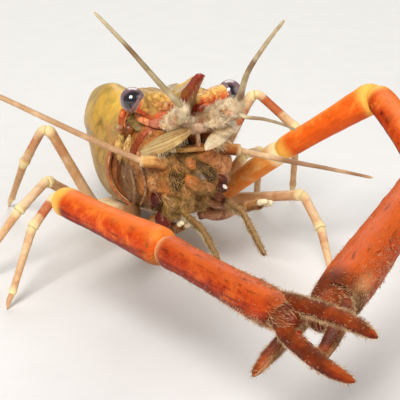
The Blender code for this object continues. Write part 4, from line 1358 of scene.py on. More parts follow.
# Lobes and plates of the face: places from root to tip (forward, up, left), half widths,
# depth as a share of them, colours at root and tip.
FACE_LOBES = {
    "brow": (((-2, 0.4, -4), (0.6, 0.2, -2.4), (2.6, 0, -0.9)),
        (0.5, 0.75, 0.5), 0.7, ((184, 150, 72), (226, 176, 92))),
    "brow_left": (((-2, 0.4, 3.6), (0.6, 0.2, 2.2), (2.6, 0, 0.9)),
        (0.5, 0.75, 0.5), 0.7, ((184, 150, 72), (226, 176, 92))),
    "petal_upper": (((0.8, -0.4, -3), (2.6, -0.6, -1.7), (3.6, -0.8, -0.6)),
        (0.4, 0.55, 0.35), 0.7, ((196, 150, 78), (200, 116, 60))),
    "petal_lower": (((1, -1.2, -3.6), (3, -1.4, -2), (4, -1.5, -0.9)),
        (0.4, 0.5, 0.3), 0.7, ((192, 84, 38), (200, 104, 62))),
    "petal_left": (((1, -0.9, 3.4), (3, -1.1, 2), (4, -1.2, 0.9)),
        (0.5, 0.6, 0.4), 0.7, ((224, 120, 60), (214, 100, 54))),
    "pink": (((1.2, -1.9, -3.4), (3.6, -2.1, -1.8), (4.8, -2.2, -0.9)),
        (0.45, 0.62, 0.4), 0.7, ((180, 96, 66), (214, 152, 120))),
    "rim_orange": (((-1.6, -0.4, -5), (-1.7, -1.4, -5.1), (-2, -2.6, -5.3)),
        (0.3, 0.38, 0.3), 0.8, ((214, 104, 40), (186, 84, 34))),
    "olive": (((-1, -1, -4.5), (-0.2, -1.8, -4.1), (0.6, -2.7, -3.6)),
        (0.5, 0.75, 0.5), 0.4, ((158, 136, 72), (118, 92, 50))),
    "orbit": (((-0.6, -0.9, -3.9), (0.8, -1.5, -3.5), (1.8, -2.2, -2.9)),
        (0.5, 0.7, 0.5), 0.6, ((206, 122, 58), (210, 130, 92))),
    "streak": (((1.4, -2.5, -3.2), (1, -3.5, -4), (0.2, -4.8, -4.9)),
        (0.3, 0.55, 0.5), 0.6, ((184, 84, 34), (108, 40, 14))),
    "streak_low": (((0.8, -4.4, -4.3), (0.8, -5.2, -4.2), (0.9, -5.9, -3.9)),
        (0.3, 0.5, 0.3), 0.6, ((176, 120, 78), (128, 78, 40))),
    "streak_edge": (((1.9, -2.8, -2.7), (1.7, -3.9, -3.5), (1, -5, -4.3)),
        (0.14, 0.24, 0.2), 0.8, ((226, 186, 128), (186, 130, 80))),
    "cross_bar": (((4.2, -2.9, -1.4), (4.8, -2.9, 0.2), (4, -2.8, 2.6)),
        (0.42, 0.5, 0.42), 0.8, ((236, 208, 170), (206, 156, 134))),
    "post": (((4.9, -3.1, 0.35), (5.3, -3.9, 0.3), (5.3, -4.7, 0.25)),
        (0.26, 0.24, 0.26), 0.9, ((222, 186, 150), (190, 140, 100))),
    "sill": (((4.6, -4.7, -2.6), (5.8, -4.7, -0.3), (5, -4.8, 1.6)),
        (0.16, 0.26, 0.2), 0.9, ((216, 178, 104), (196, 132, 76))),
    "peach_plate": (((5.7, -5.3, 0.1), (5.1, -5.9, 1.6), (4.2, -6, 2.9), (3, -5.6, 3.9)),
        (0.45, 1.15, 1.3, 0.7), 0.4, ((172, 104, 54), (204, 148, 96))),
    "peach_edge": (((5.6, -6.6, 0.9), (5, -7.3, 1.9), (4.2, -7.6, 2.6)),
        (0.16, 0.3, 0.2), 0.8, ((186, 128, 92), (214, 168, 130))),
    "cheek_line": (((1.9, -5.9, -4.6), (1.9, -7.3, -4.25), (1, -8.7, -4.15), (-1, -9.8, -4.3)),
        (0.1, 0.14, 0.14, 0.1), 1, ((188, 152, 108), (164, 126, 86))),
    "cheek_fold": (((0.3, -6.2, -5.2), (0.2, -7.6, -4.95), (-0.6, -9, -4.8), (-2.4, -9.9, -4.7)),
        (0.1, 0.16, 0.16, 0.1), 1, ((150, 120, 84), (132, 100, 66))),
    "cheek_plate": (((2.2, -6.5, -3.6), (3, -7.5, -3.3), (2.4, -8.6, -3)),
        (0.6, 1, 0.6), 0.45, ((186, 132, 76), (168, 112, 62))),
    "stripe_upper": (((4.2, -8.7, 0.9), (3.4, -9.3, 2.2), (1.8, -9.8, 3.3)),
        (0.3, 0.42, 0.35), 0.9, ((150, 88, 44), (96, 44, 20))),
    "stripe_middle": (((3.8, -9.5, 0.9), (2.8, -10.1, 2.2), (1.2, -10.4, 3.6)),
        (0.3, 0.45, 0.35), 0.9, ((158, 106, 68), (112, 56, 30))),
    "leg_socket": (((0.8, -10.9, 0.8), (0.4, -11.2, 2.6), (0.2, -11.2, 4.2), (0, -11, 5.2)),
        (0.5, 0.62, 0.6, 0.35), 0.9, ((140, 76, 44), (214, 170, 128))),
    "ball_side": (((2.6, -8.2, -3.1), (3, -8.8, -2.9), (2.6, -9.4, -2.7)),
        (0.35, 0.5, 0.35), 1, ((104, 34, 18), (70, 18, 10))),
    "ball_upper": (((1.2, -8.5, -3.1), (1.6, -9.1, -3.1), (1.2, -9.7, -3.1)),
        (0.55, 0.7, 0.55), 1, ((92, 20, 12), (60, 12, 8))),
    "ball_lower": (((-0.2, -10.8, -3), (0.2, -11.3, -2.2), (0.4, -11.8, -1.6)),
        (0.8, 0.95, 0.7), 1, ((84, 18, 10), (128, 30, 14))),
    "jaw_left_knob": (((4.9, -7.2, 1.8), (5.1, -7.6, 2.3), (4.7, -7.9, 2.8)),
        (0.3, 0.42, 0.3), 1, ((110, 50, 28), (60, 18, 10))),
    # Painted highlight: a small whitish lobe standing for the gleam on the dark jaw ball.
    "jaw_left_highlight": (((5, -8.2, 2.3), (5.2, -8.4, 2.5), (5.1, -8.6, 2.7)),
        (0.12, 0.18, 0.12), 1, ((214, 190, 170), (240, 226, 214))),
    "jaw_left_ball": (((4.4, -7.8, 1.6), (4.6, -8.3, 2.2), (4, -8.7, 2.8)),
        (0.45, 0.62, 0.45), 1, ((52, 14, 9), (84, 22, 13))),
}
# The same for the haired lobes about the mouth.
MOUTH_LOBES = {
    "labrum_upper": (((6.1, -5.4, -1.2), (6.5, -5.9, -0.9), (6.5, -6.5, -0.7)),
        (0.35, 0.5, 0.35), 0.7, ((140, 90, 42), (206, 124, 58))),
    "labrum_lower": (((6.2, -7, -1.4), (6.5, -7.6, -1), (6.3, -8, -0.4), (5.8, -8.4, 0.4)),
        (0.4, 0.6, 0.55, 0.35), 0.7, ((176, 102, 46), (206, 130, 68))),
    "labrum_side": (((6, -7.8, -1.5), (5.9, -8.5, -1.3), (5.4, -9.1, -1.1)),
        (0.4, 0.55, 0.4), 0.7, ((172, 112, 54), (170, 126, 72))),
    "lip_right": (((5.6, -5.2, -2.7), (5.9, -6, -2.2), (5.9, -6.8, -1.7)),
        (0.35, 0.5, 0.35), 0.7, ((140, 104, 48), (166, 106, 48))),
    "lip_left": (((5.8, -8, 0.4), (5.6, -8.3, 0.9), (5, -8.7, 1.4)),
        (0.35, 0.42, 0.3), 0.7, ((204, 140, 92), (184, 120, 80))),
    "jaw_right": (((5.2, -6.4, -2.4), (5.5, -7.5, -2.2), (5.1, -8.4, -1.9)),
        (0.35, 0.6, 0.4), 0.6, ((84, 42, 16), (34, 10, 4))),
    "jaw_left": (((6.2, -5.8, -0.4), (6.3, -6.7, 0.6), (5.6, -7.6, 1.6)),
        (0.3, 0.5, 0.42), 0.5, ((80, 52, 22), (40, 12, 6))),
    "lace": (((-1.4, -2.5, -5.3), (-1.9, -3.8, -5.6), (-2.4, -5.4, -5.6)),
        (0.3, 0.45, 0.3), 0.5, ((222, 184, 106), (204, 158, 90))),
    "lace_inner": (((-0.7, -2.9, -4.7), (-0.8, -4.1, -5.1), (-1.2, -5.4, -5.2)),
        (0.2, 0.36, 0.26), 0.5, ((232, 198, 126), (184, 136, 78))),
    "beard_right": (((3, -8.6, -3.1), (3.4, -9.3, -2.2), (2.8, -10.2, -1.4)),
        (0.5, 0.75, 0.5), 0.8, ((142, 100, 50), (176, 140, 84))),
    "beard_middle": (((4.8, -8.8, -0.6), (4, -9.6, -0.9), (2.9, -10.5, -1)),
        (0.5, 0.75, 0.5), 0.8, ((178, 134, 76), (190, 154, 96))),
    "beard_left": (((4.6, -8.9, 0.8), (3.4, -9.8, 0.6), (2.4, -10.6, 0.2)),
        (0.45, 0.6, 0.4), 0.8, ((166, 120, 70), (150, 112, 62))),
    "beard_low": (((1.4, -9.8, -2.6), (1.8, -10.5, -1.8), (1.8, -11.2, -1.2)),
        (0.5, 0.7, 0.4), 0.8, ((120, 86, 42), (150, 116, 60))),
}


def build_face(bristle):
    """Bare and haired lobes over the front of the head mass."""
    add_lobes("face_lobes", FACE_LOBES, painted_material("face_lobes", specks=0.35), 0.0, "underside")
    paint = painted_material("mouth_lobes", specks=0.5)
    piece = add_lobes("mouth_lobes", MOUTH_LOBES, paint, 1.0, "underside")
    grow_coat(piece, "mouth_lobe_bristles", "underside", bristle, "lobes")


PLATE_GRID = (60, 40)
# The breastplate: its rear end, length, height, half width, half depth.
BREASTPLATE = (-19.5, 18.5, -10.2, 3.1, 0.75)
BREASTPLATE_RIDGES = 6
RIDGE_HEIGHT = 0.14


def build_underside(settings):
    """Breastplate between the leg roots, ridged from side to side."""
    rear, length, height, half_width, half_depth = BREASTPLATE

    def place(t, turn):
        half = half_width * (0.55 + 0.45 * math.sin(math.pi * min(1.0, 0.15 + 0.8 * t)))
        ridge = RIDGE_HEIGHT * math.cos(2 * math.pi * t * BREASTPLATE_RIDGES)
        up = height + (half_depth + ridge) * math.sin(turn)
        return body_point(rear + length * t, up, (half + ridge) * math.cos(turn))

    shape = Shape()
    shape.add_rows(grid(*PLATE_GRID, place))
    paint = plate_material("breastplate", (150, 104, 62), (196, 160, 112), (92, 50, 26))
    add_piece("breastplate", shape, paint, "underside", "thorax_underside")


ROSTRUM_GRID = (200, 26)
TOOTHED_RUN = (0.2, 10.4)
TOOTH_HEIGHT = 0.34
TOOTH_LEAN = 0.86            # share of a tooth that rises


def rostrum_tooth(forward):
    """Height of the rostrum's saw edge above its back."""
    start, end = TOOTHED_RUN
    if not start < forward < end:
        return 0.0
    phase = ((forward - start) / ((end - start) / ROSTRUM_TEETH)) % 1.0
    rise = phase / TOOTH_LEAN if phase < TOOTH_LEAN else (1 - phase) / (1 - TOOTH_LEAN)
    return TOOTH_HEIGHT * rise * min(1.0, (10.6 - forward) / 3)


def build_rostrum(settings):
    """Saw-edged blade with a fringe of bristles on its lower edge."""
    first, last = ROSTRUM[0][0], ROSTRUM[-1][0]
    tones = []

    def place(t, turn):
        forward = first + (last - first) * t
        top, bottom, half = station_at(ROSTRUM, forward)
        rise = math.sin(turn)
        across = half * math.copysign(abs(math.cos(turn)) ** 0.8, math.cos(turn))
        across *= 1 + 0.4 * bell(rise, 0.3, 0.16)
        up = (top + bottom) / 2 + (top - bottom) / 2 * rise
        up += rostrum_tooth(forward) * smoothstep(0.8, 1.0, rise)
        crest = 1.35 * smoothstep(9.2, 1.0, forward)
        tones.append(smoothstep(crest + 0.15, crest - 0.15, top - up) * smoothstep(9.4, 8.0, forward))
        return body_point(forward, up, across + ROSTRUM_BEND * smoothstep(2.0, 10.5, forward))

    shape = Shape()
    shape.add_rows(grid(*ROSTRUM_GRID, place),
                   fur=lambda share, part: 1.0 if 0.68 < part < 0.82 and 0.25 < share < 0.97 else 0.0)
    shape.tone[:len(tones)] = tones
    piece = add_piece("rostrum", shape, rostrum_material("rostrum_horn", settings), "rostrum", "rostrum")
    bristle = hair_material("rostrum_bristle", (190, 150, 96), (222, 190, 140))
    grow_coat(piece, "rostrum_bristles", "rostrum", bristle, "rostrum")


STALK_PROFILE = ((0.0, 0.72), (0.3, 0.82), (0.6, 0.98), (0.74, 1.06), (0.84, 1.0), (0.92, 0.7))
STALK_END = 0.92             # share of the way to the eye's middle
STALK_ROWS = 48


def stalk_paint(part, share, side):
    """Colour of an eye stalk: gold above, orange below and in front, pale by the eye."""
    turn = 2 * math.pi * part
    rise = math.sin(turn) + 0.8 * noise.noise(Vector((share * 9, math.cos(turn) * 3, side)))
    colour = Vector(linear(214, 84, 30)).lerp(Vector(linear(228, 176, 92)), smoothstep(-0.1, 0.6, rise))
    if side < 0:
        shell = Vector(linear(190, 96, 40)).lerp(Vector(linear(172, 130, 62)), smoothstep(-0.3, 0.2, rise))
        colour = shell.lerp(colour, smoothstep(0.45, 0.7, share - 0.25 * rise))
    return tuple(colour.lerp(Vector(linear(240, 214, 160)), smoothstep(0.84, 0.95, share)))


def build_eyes(settings):
    """Stalks swelling to a pale collar, and glossy eyes."""
    forward, up, out = EYE_PLACE
    paint = painted_material("eye_stalk", specks=0.7, patch=1300.0, coat=0.2)
    cornea_paint = cornea_material("cornea")
    for side_name, side in SIDES.items():
        eye = side_point((forward, up, out - EYE_SHIFT[side_name]), side)
        root = body_point(*EYE_STALK_ROOTS[side_name])
        along = (eye - root).normalized()
        length = (eye - root).length / MM
        stout = 0.9 + 0.1 * side
        places = [STALK_END * row / (STALK_ROWS - 1) for row in range(STALK_ROWS)]
        route = [root + along * (length * MM * place) for place in places]
        halves = [(station_at(STALK_PROFILE, place)[0] * stout,) * 2 for place in places]
        shape = Shape()
        shape.add_rows(ring_rows(route, halves, (0, 0, 1), 36, rough=0.12),
                       paint=lambda share, part: stalk_paint(part, share, side))
        add_piece(f"eye_stalk_{side_name}", shape, paint, "eye_stalk", f"eye_stalk_{side_name}")
        look = (AHEAD * 0.85 - LEFTWARD * (0.35 + 0.2 * side) - DORSAL * 0.1).normalized()
        ball = Shape()
        ball.add_ball(eye, (CORNEA_RADIUS,) * 3, Matrix.Identity(3), sides=56, rows=36)
        for index, point in enumerate(ball.points):
            aim = (point - eye).normalized()
            ball.tone[index] = (0.5 + 0.5 * aim.dot(look)) * smoothstep(-0.75, -0.25, aim.dot(along))
        add_piece(f"eye_{side_name}", ball, cornea_paint, "cornea", f"eye_{side_name}")


# Feelers.


ANTENNULE_HALVES = {
    "right": ((0.8, 0.72), (0.66, 0.6), (0.56, 0.46)),
    "left": ((0.95, 0.9), (0.86, 0.8), (0.74, 0.56)),
}


# Loose fringed folds about the left base.
ANTENNULE_FRILL = {
    "upper": (((5, -1, 2), (6.4, -0.8, 2.7), (7.6, -0.6, 3.3)),
        (0.3, 0.42, 0.25), 0.8, ((236, 206, 150), (250, 236, 206))),
    "middle": (((5, -2.6, 1), (6.8, -2.3, 2), (8.2, -1.9, 3)),
        (0.35, 0.48, 0.3), 0.7, ((246, 230, 198), (232, 204, 160))),
    "lower": (((4.6, -3, 1.8), (6, -3.2, 2.8), (6.4, -3, 4)),
        (0.3, 0.42, 0.3), 0.7, ((226, 200, 150), (246, 232, 204))),
    "spot": (((7.4, -1.4, 1.9), (8.4, -1.6, 2.5), (8.8, -1.8, 3)),
        (0.2, 0.3, 0.2), 0.8, ((150, 90, 52), (214, 160, 118))),
    "outer": (((3.4, -1.5, 3.2), (4.6, -1.7, 4), (5.2, -1.9, 4.8)),
        (0.4, 0.55, 0.35), 0.7, ((206, 164, 110), (236, 212, 170))),
    "inner": (((5.6, -2.2, -1), (7, -2.1, -1), (8.4, -1.9, -0.9)),
        (0.35, 0.5, 0.4), 0.8, ((240, 220, 186), (222, 188, 160))),
    "right": (((4.2, -2.3, -2.9), (5.4, -2.2, -2.2), (6.6, -2.1, -1.7)),
        (0.3, 0.45, 0.35), 0.8, ((230, 196, 128), (244, 224, 190))),
}


# Half widths of each whip at its root and tip, and the depth of its rings.
UPPER_WHIP = (0.38, 0.14)
LOWER_WHIP = (0.22, 0.1)
LONG_WHIP = (0.3, 0.12)
SHORT_WHIP_RINGS = 0.04
LONG_WHIP_RINGS = 0.03
SLEEVE_ROWS = 22


def build_antennules(settings):
    """Three-jointed bases and two ringed whips on each side."""
    paint = limb_material("antennule_base", (216, 180, 132), (240, 218, 180), (204, 128, 84), (240, 222, 190),
                          (176, 96, 60), cores=0.6, bump=0.8)
    fuzz = hair_material("antennule_fuzz", (226, 200, 152), (252, 244, 222))
    piece = add_lobes("antennule_frill", ANTENNULE_FRILL, painted_material("frill"), 1.0, "plate", lumps=0.3)
    grow_coat(piece, "antennule_frill_fuzz", "plate", fuzz, "frill")
    pitch = settings.ring_pitch
    whip = whip_material("whip", (176, 158, 118), (212, 196, 158), (122, 76, 48), pitch)
    for side_name, side in SIDES.items():
        root, elbow, tip = [side_point(place, side) for place in ANTENNULE_ROUTES[side_name]]
        joints = [root, elbow, elbow.lerp(tip, 0.5), tip]
        shape = Shape()
        limb_sections(shape, joints, ANTENNULE_HALVES[side_name], 4, 0.9, 36, 24, (0.4, 0.4, 0.6), 0.25)
        # Soft skin round the root of the upper whip.
        upper = tip + Vector((side * 0.05, -0.55, 0.35)) * MM
        chain = joint_chain(upper, UPPER_FLAGELLA[side_name], side)
        sleeve = even_route([tip, upper, chain[1]], 60)[:SLEEVE_ROWS]
        halves = [(0.28 + 0.34 * (1 - row / (SLEEVE_ROWS - 1)) ** 1.6,) * 2 for row in range(SLEEVE_ROWS)]
        shape.add_rows(ring_rows(sleeve, halves, (0, 0, 1), 20, rough=0.15), cell=(0.75, 1.0),
                       pale=lambda share, part: 0.5)
        piece = add_piece(f"antennule_{side_name}", shape, paint, "plate", f"antennule_{side_name}")
        grow_coat(piece, f"antennule_fuzz_{side_name}", "plate", fuzz, "antennule")
        chain.insert(0, tip - (chain[1] - chain[0]).normalized() * 0.3 * MM)
        add_whip(f"antennule_whip_upper_{side_name}", chain, *UPPER_WHIP, whip, pitch, SHORT_WHIP_RINGS)
        lower = tip + Vector((side * 0.5, -0.6, -0.8)) * MM
        chain = joint_chain(lower, LOWER_FLAGELLA[side_name], side)
        chain.insert(0, tip + Vector((side * 0.1, -0.1, -0.2)) * MM)
        add_whip(f"antennule_whip_lower_{side_name}", chain, *LOWER_WHIP, whip, pitch, SHORT_WHIP_RINGS)


ANTENNA_HALVES = ((0.9, 0.85), (0.8, 0.74), (0.64, 0.5))


def build_antennae(settings):
    """Second feelers: a stout base, a long whip and a broad ribbed scale on each side."""
    joint, dark = (232, 204, 154), (120, 54, 24)
    paints = {
        "right": limb_material("antenna_base", (204, 150, 84), (224, 182, 116), (156, 84, 34), joint, dark,
                               cores=0.6, bump=0.9, specks=0.8),
        "left": limb_material("antenna_base_dark", (148, 80, 26), (196, 142, 78), (104, 44, 12), joint, dark,
                              cores=0.7, bump=0.9, specks=0.8)}
    pitch = settings.ring_pitch
    whip = whip_material("long_whip", (192, 150, 110), (228, 196, 152), (132, 88, 58), pitch)
    for side_name, side in SIDES.items():
        end = side_point(ANTENNA_ENDS[side_name], side)
        joints = [body_point(*place) for place in ANTENNA_BASES[side_name]] + [end]
        shape = Shape()
        limb_sections(shape, joints, ANTENNA_HALVES, 3, 1.0, 36, 28, (0.4, 0.6, 0.9), 0.22,
                      tone=lambda share, part: 0.45 * smoothstep(0.75, 0.35, share))
        add_piece(f"antenna_{side_name}", shape, paints[side_name], "underside", f"antenna_{side_name}")
        name = f"antenna_whip_{side_name}"
        chain = joint_chain(end, ANTENNA_FLAGELLA[side_name], side)
        nodes = (f"{name}_near", f"{name}_far") if side_name == "right" else (name,)
        add_whip(name, chain, *LONG_WHIP, whip, pitch, LONG_WHIP_RINGS, *nodes)
    horn = {"right": fan_material("scale_plate", (178, 144, 84), (226, 202, 146), (146, 92, 44)),
            "left": fan_material("scale_plate_pale", (226, 204, 158), (250, 240, 214), (186, 146, 96))}
    fringe = hair_material("scale_fringe", (206, 178, 120), (244, 228, 188))
    for side_name, side in SIDES.items():
        build_scale(side_name, side, horn[side_name], fringe)


# Outline of the antennal scale: share of its length, half width.
SCALE_OUTLINE = (
    (0.0, 0.5), (0.06, 0.85), (0.2, 1.25), (0.4, 1.5), (0.62, 1.5), (0.8, 1.2), (0.92, 0.8), (0.98, 0.45),
    (1.0, 0.12),
)


def plate_lift(turn, thick):
    """Height of a thin plate's skin over its middle, rounded at its edges."""
    return thick * math.copysign(abs(math.sin(turn)) ** 0.6, math.sin(turn))


def build_scale(side_name, side, paint, fringe):
    """Leaf-shaped plate beside each antenna, with a rib, a spine outside and a fringe inside."""
    root, tip, face = [AHEAD * forward + DORSAL * up + LEFTWARD * left
                       for forward, up, left in SCALE_POSES[side_name]]
    length = (tip - root).length
    axis = (tip - root).normalized()
    level = (face - axis * face.dot(axis)).normalized()
    root = ORIGIN + root * MM
    across = axis.cross(level)
    inner = -side

    def place(t, turn):
        half = station_at(SCALE_OUTLINE, t)[0] * SCALE_WIDTHS[side_name]
        out = math.cos(turn)
        thick = 0.05 + 0.13 * (1 - abs(out) ** 2) + 0.08 * bell(out, side * -0.25, 0.12)
        lift = plate_lift(turn, thick) + 0.22 * (1 - out * out) * min(1.0, half)
        return root + (axis * (length * t) + across * (half * out) + level * lift) * MM

    def edge_only(share, part):
        out = math.cos(2 * math.pi * part)
        return smoothstep(0.93, 0.985, out * inner) if share > 0.12 else 0.0

    shape = Shape()
    shape.add_rows(grid(*PLATE_GRID, place), fur=edge_only)
    for index, fur in enumerate(shape.fur):
        if fur > 0:
            shape.flow[index] = (axis * 0.6 + across * inner).normalized()
    piece = add_piece(f"antennal_scale_{side_name}", shape, paint, "plate", f"antennal_scale_{side_name}")
    grow_coat(piece, f"antennal_scale_fringe_{side_name}", "plate", fringe, "scale")


# Limbs.


def tuft_fur(share, part):
    """Hair mostly on the lower side, thicker towards the tip."""
    under = smoothstep(0.35, -0.6, math.sin(2 * math.pi * part))
    return (0.25 + 0.75 * under) * smoothstep(0.02, 0.3, share)


MAXILLIPED_SOCKET = (-2.5, -10.2, 2.6)
MAXILLIPED_HALVES = ((0.42, 0.36), (0.34, 0.3), (0.28, 0.28), (0.27, 0.2))
NIPPER_RUN = (0, 0.2, 0.4, 0.6, 0.8, 0.92, 1.0)
NIPPER_HALVES = tuple((width, width) for width in (0.28, 0.3, 0.3, 0.28, 0.25, 0.2, 0.1))


def build_mouth_limbs(settings):
    """Third maxillipeds, thickly haired, and the first legs with their small claws."""
    paint = limb_material("maxilliped", (112, 80, 42), (168, 130, 82), (80, 52, 26), (176, 142, 94),
                          (96, 60, 28), cores=0.7, bump=0.9, specks=0.9)
    paint_leg = limb_material("first_leg", (150, 92, 44), (196, 148, 96), (104, 56, 20), (246, 228, 192),
                              (118, 64, 34), cores=0.8)
    bristle = hair_material("limb_bristle", (140, 104, 58), (232, 206, 156))
    for side_name, side in SIDES.items():
        root = side_point(MAXILLIPED_ROOTS[side_name], side)
        _, knee, foot = joint_chain(root, MAXILLIPEDS[side_name], side)
        joints = [side_point(MAXILLIPED_SOCKET, side), root.lerp(knee, 0.12), knee,
                  knee.lerp(foot, 0.48), foot]
        shape = Shape()
        limb_sections(shape, joints, MAXILLIPED_HALVES, 4, 1.6, 34, 22, (0.0, 0.0, 0.4), 0.14, fur=tuft_fur)
        name = f"maxilliped_3_{side_name}"
        piece = add_piece(name, shape, paint, "underside", name)
        grow_coat(piece, f"maxilliped_bristles_{side_name}", "underside", bristle, "maxilliped")

        joints = joint_chain(side_point(FIRST_LEG_ROOT, side), FIRST_LEGS[side_name], side)
        upper = Shape()
        limb_skin(upper, joints, 0, 1, (0.62, 0.58), 0.8, 40, 22, (0.2, 0.2, 0.6), 0.05, fur=tuft_fur)
        add_piece(f"leg_1_{side_name}_upper", upper, paint_leg, "underside", f"leg_1_{side_name}_upper")
        wrist, tip = joints[2:]
        lower = Shape()
        limb_skin(lower, joints, 1, 2, (0.52, 0.5), 0.8, 36, 22, (0.2, 0.2, 0.6), 0.05, cell=(0.0, 0.4),
                  fur=tuft_fur)
        middle = wrist.lerp(tip, 0.5)
        limb_skin(lower, [joints[1], wrist, middle], 1, 2, (0.46, 0.5), 0.8, 26, 22, (0.2, 0.1, 0.6), 0.04,
                  cell=(0.4, 0.6), fur=tuft_fur)
        spread = (tip - wrist).normalized().cross(Vector((0.3, 0.2, 1))).normalized()
        for way, cell in ((1, (0.6, 0.8)), (-1, (0.8, 1.0))):
            route = [middle + spread * (0.22 * way * MM) + (tip - middle) * t + spread * (
                way * 0.16 * math.sin(math.pi * t) * MM) for t in NIPPER_RUN]
            lower.add_rows(ring_rows(route, NIPPER_HALVES, LIMB_TOP, 14), cell=cell, fur=tuft_fur,
                           pale=lambda share, part: smoothstep(0.25, 0.5, share))
        name = f"leg_1_{side_name}_lower"
        piece = add_piece(name, lower, paint_leg, "underside", name)
        grow_coat(piece, f"leg_1_bristles_{side_name}", "underside", bristle, "first leg")


# Paleness at the start and end of ischium, merus and carpus, and its reach.
ARM_PALES = {
    "left": ((1.0, 0.8, 2.0), (0.8, 1.0, 2.4), (1.0, 0.45, 2.2)),
    "right": ((0.7, 0.8, 2.0), (0.85, 0.9, 2.0), (1.0, 0.3, 2.6)),
}


def build_arms(settings):
    """The two great claw-bearing arms."""
    # The arm's edge colour goes on its top side as painted light, its core colour on its front and under side
    # as painted shade over deeper pigment.
    arm = limb_material("arm_shell", settings.arm_main, settings.arm_edge, settings.arm_core,
                        settings.joint_cream, (150, 44, 16), cores=0.9)
    paints = {
        ("right", "ischium"): limb_material("arm_root", (140, 86, 46), (180, 130, 84), (104, 46, 18),
                                            (190, 140, 92), (104, 46, 18)),
        ("left", "ischium"): limb_material("arm_root_pale", (246, 166, 78), (252, 216, 150), (226, 116, 34),
                                           (252, 226, 170), (200, 90, 30), cores=0.6),
        ("left", "merus"): limb_material("arm_light", (230, 94, 18), (250, 144, 54), (206, 78, 14),
                                         settings.joint_cream, (170, 60, 18), cores=0.6)}
    hand = limb_material("hand_shell", (178, 58, 10), (206, 92, 30), settings.arm_core, (236, 170, 112),
                         (74, 28, 8), bump=0.7, specks=0.7, veins=0.6)
    bristle = hair_material("hand_bristle", (160, 116, 72), (230, 196, 150))
    for side_name, side in SIDES.items():
        sections = ARMS[side_name]
        joints = joint_chain(side_point(ARM_ROOT, side), [part[1:4] for part in sections], side)
        for index, (section, *_, start_half, end_half) in enumerate(sections[:-1]):
            shape = Shape()
            limb_skin(shape, joints, index, index + 1, (start_half, end_half), ARM_BEND, 90, 44,
                      ARM_PALES[side_name][index], 0.03)
            name = f"arm_{side_name}_{section}"
            add_piece(name, shape, paints.get((side_name, section), arm), "arm", name)
        build_claw(side_name, side, joints, sections[-1], hand, bristle)


# Width of a finger along it, and of the palm along it, as shares.
FINGER_TAPER = ((0.0, 1.1), (0.2, 1.08), (0.45, 1.02), (0.7, 0.9), (0.86, 0.7), (0.95, 0.48), (1.0, 0.16))
PALM_TAPER = (
    (0.0, 0.76), (0.02, 0.92), (0.07, 1.05), (0.18, 1.0), (0.5, 1.0), (0.8, 1.05), (0.95, 1.0), (1.0, 0.94),
)
FINGER_FLATNESS = 0.68
PALM_FLATNESS = 0.95
PALM_ROWS = 72
NECK_ROWS = 18               # from the palm's end to the fixed finger
NECK_LENGTH = 1.5
FINGER_ROWS = 55
TOOTH_STEP = 0.085


def edge_fur(part):
    """Hair thick along the upper and lower edges of a claw, thin on its faces."""
    return 0.05 + 0.95 * smoothstep(0.6, 0.92, abs(math.sin(2 * math.pi * part)))


def edge_pale(part):
    """Paleness along the upper and lower edges of a claw."""
    return 0.75 * smoothstep(0.8, 1.0, abs(math.sin(2 * math.pi * part)))


def add_teeth(shape, root, axis, hook, length, half, teeth, **looks):
    """Low teeth inside a finger, the second the largest."""
    count, first, size, largest = teeth
    for number in range(count):
        t = first + TOOTH_STEP * number
        radius = size * (largest if number == 1 else 1.0 - 0.07 * number)
        stand = FINGER_HOOK * t**3 + half * station_at(FINGER_TAPER, t)[0] * 0.86
        place = root + axis * (length * t * MM) + hook * (stand * MM)
        shape.add_ball(place, (radius * 1.4, radius, radius), (axis, hook, axis.cross(hook).normalized()),
                       sides=10, rows=6, tone=lambda share, part: 0.2, **looks)


def finger_skin(shape, root, axis, hook, length, half, rows=60, sides=24):
    """Tapering hooked finger with a row of low teeth inside."""
    route = []
    halves = []
    for row in range(rows):
        t = row / (rows - 1)
        route.append(root + axis * (length * t * MM) + hook * (FINGER_HOOK * t**3 * MM))
        width = half * station_at(FINGER_TAPER, t)[0]
        halves.append((width * FINGER_FLATNESS, width))
    shape.add_rows(ring_rows(route, halves, hook, sides, rough=0.04), dorsal=SHADED_FRONT_AND_UNDER,
                   tone=lambda share, part: 0.7 - 0.16 * share, pale=lambda share, part: edge_pale(part),
                   fur=lambda share, part: edge_fur(part))
    add_teeth(shape, root, axis, hook, length, half, (9, 0.1, 0.2, 1.25))


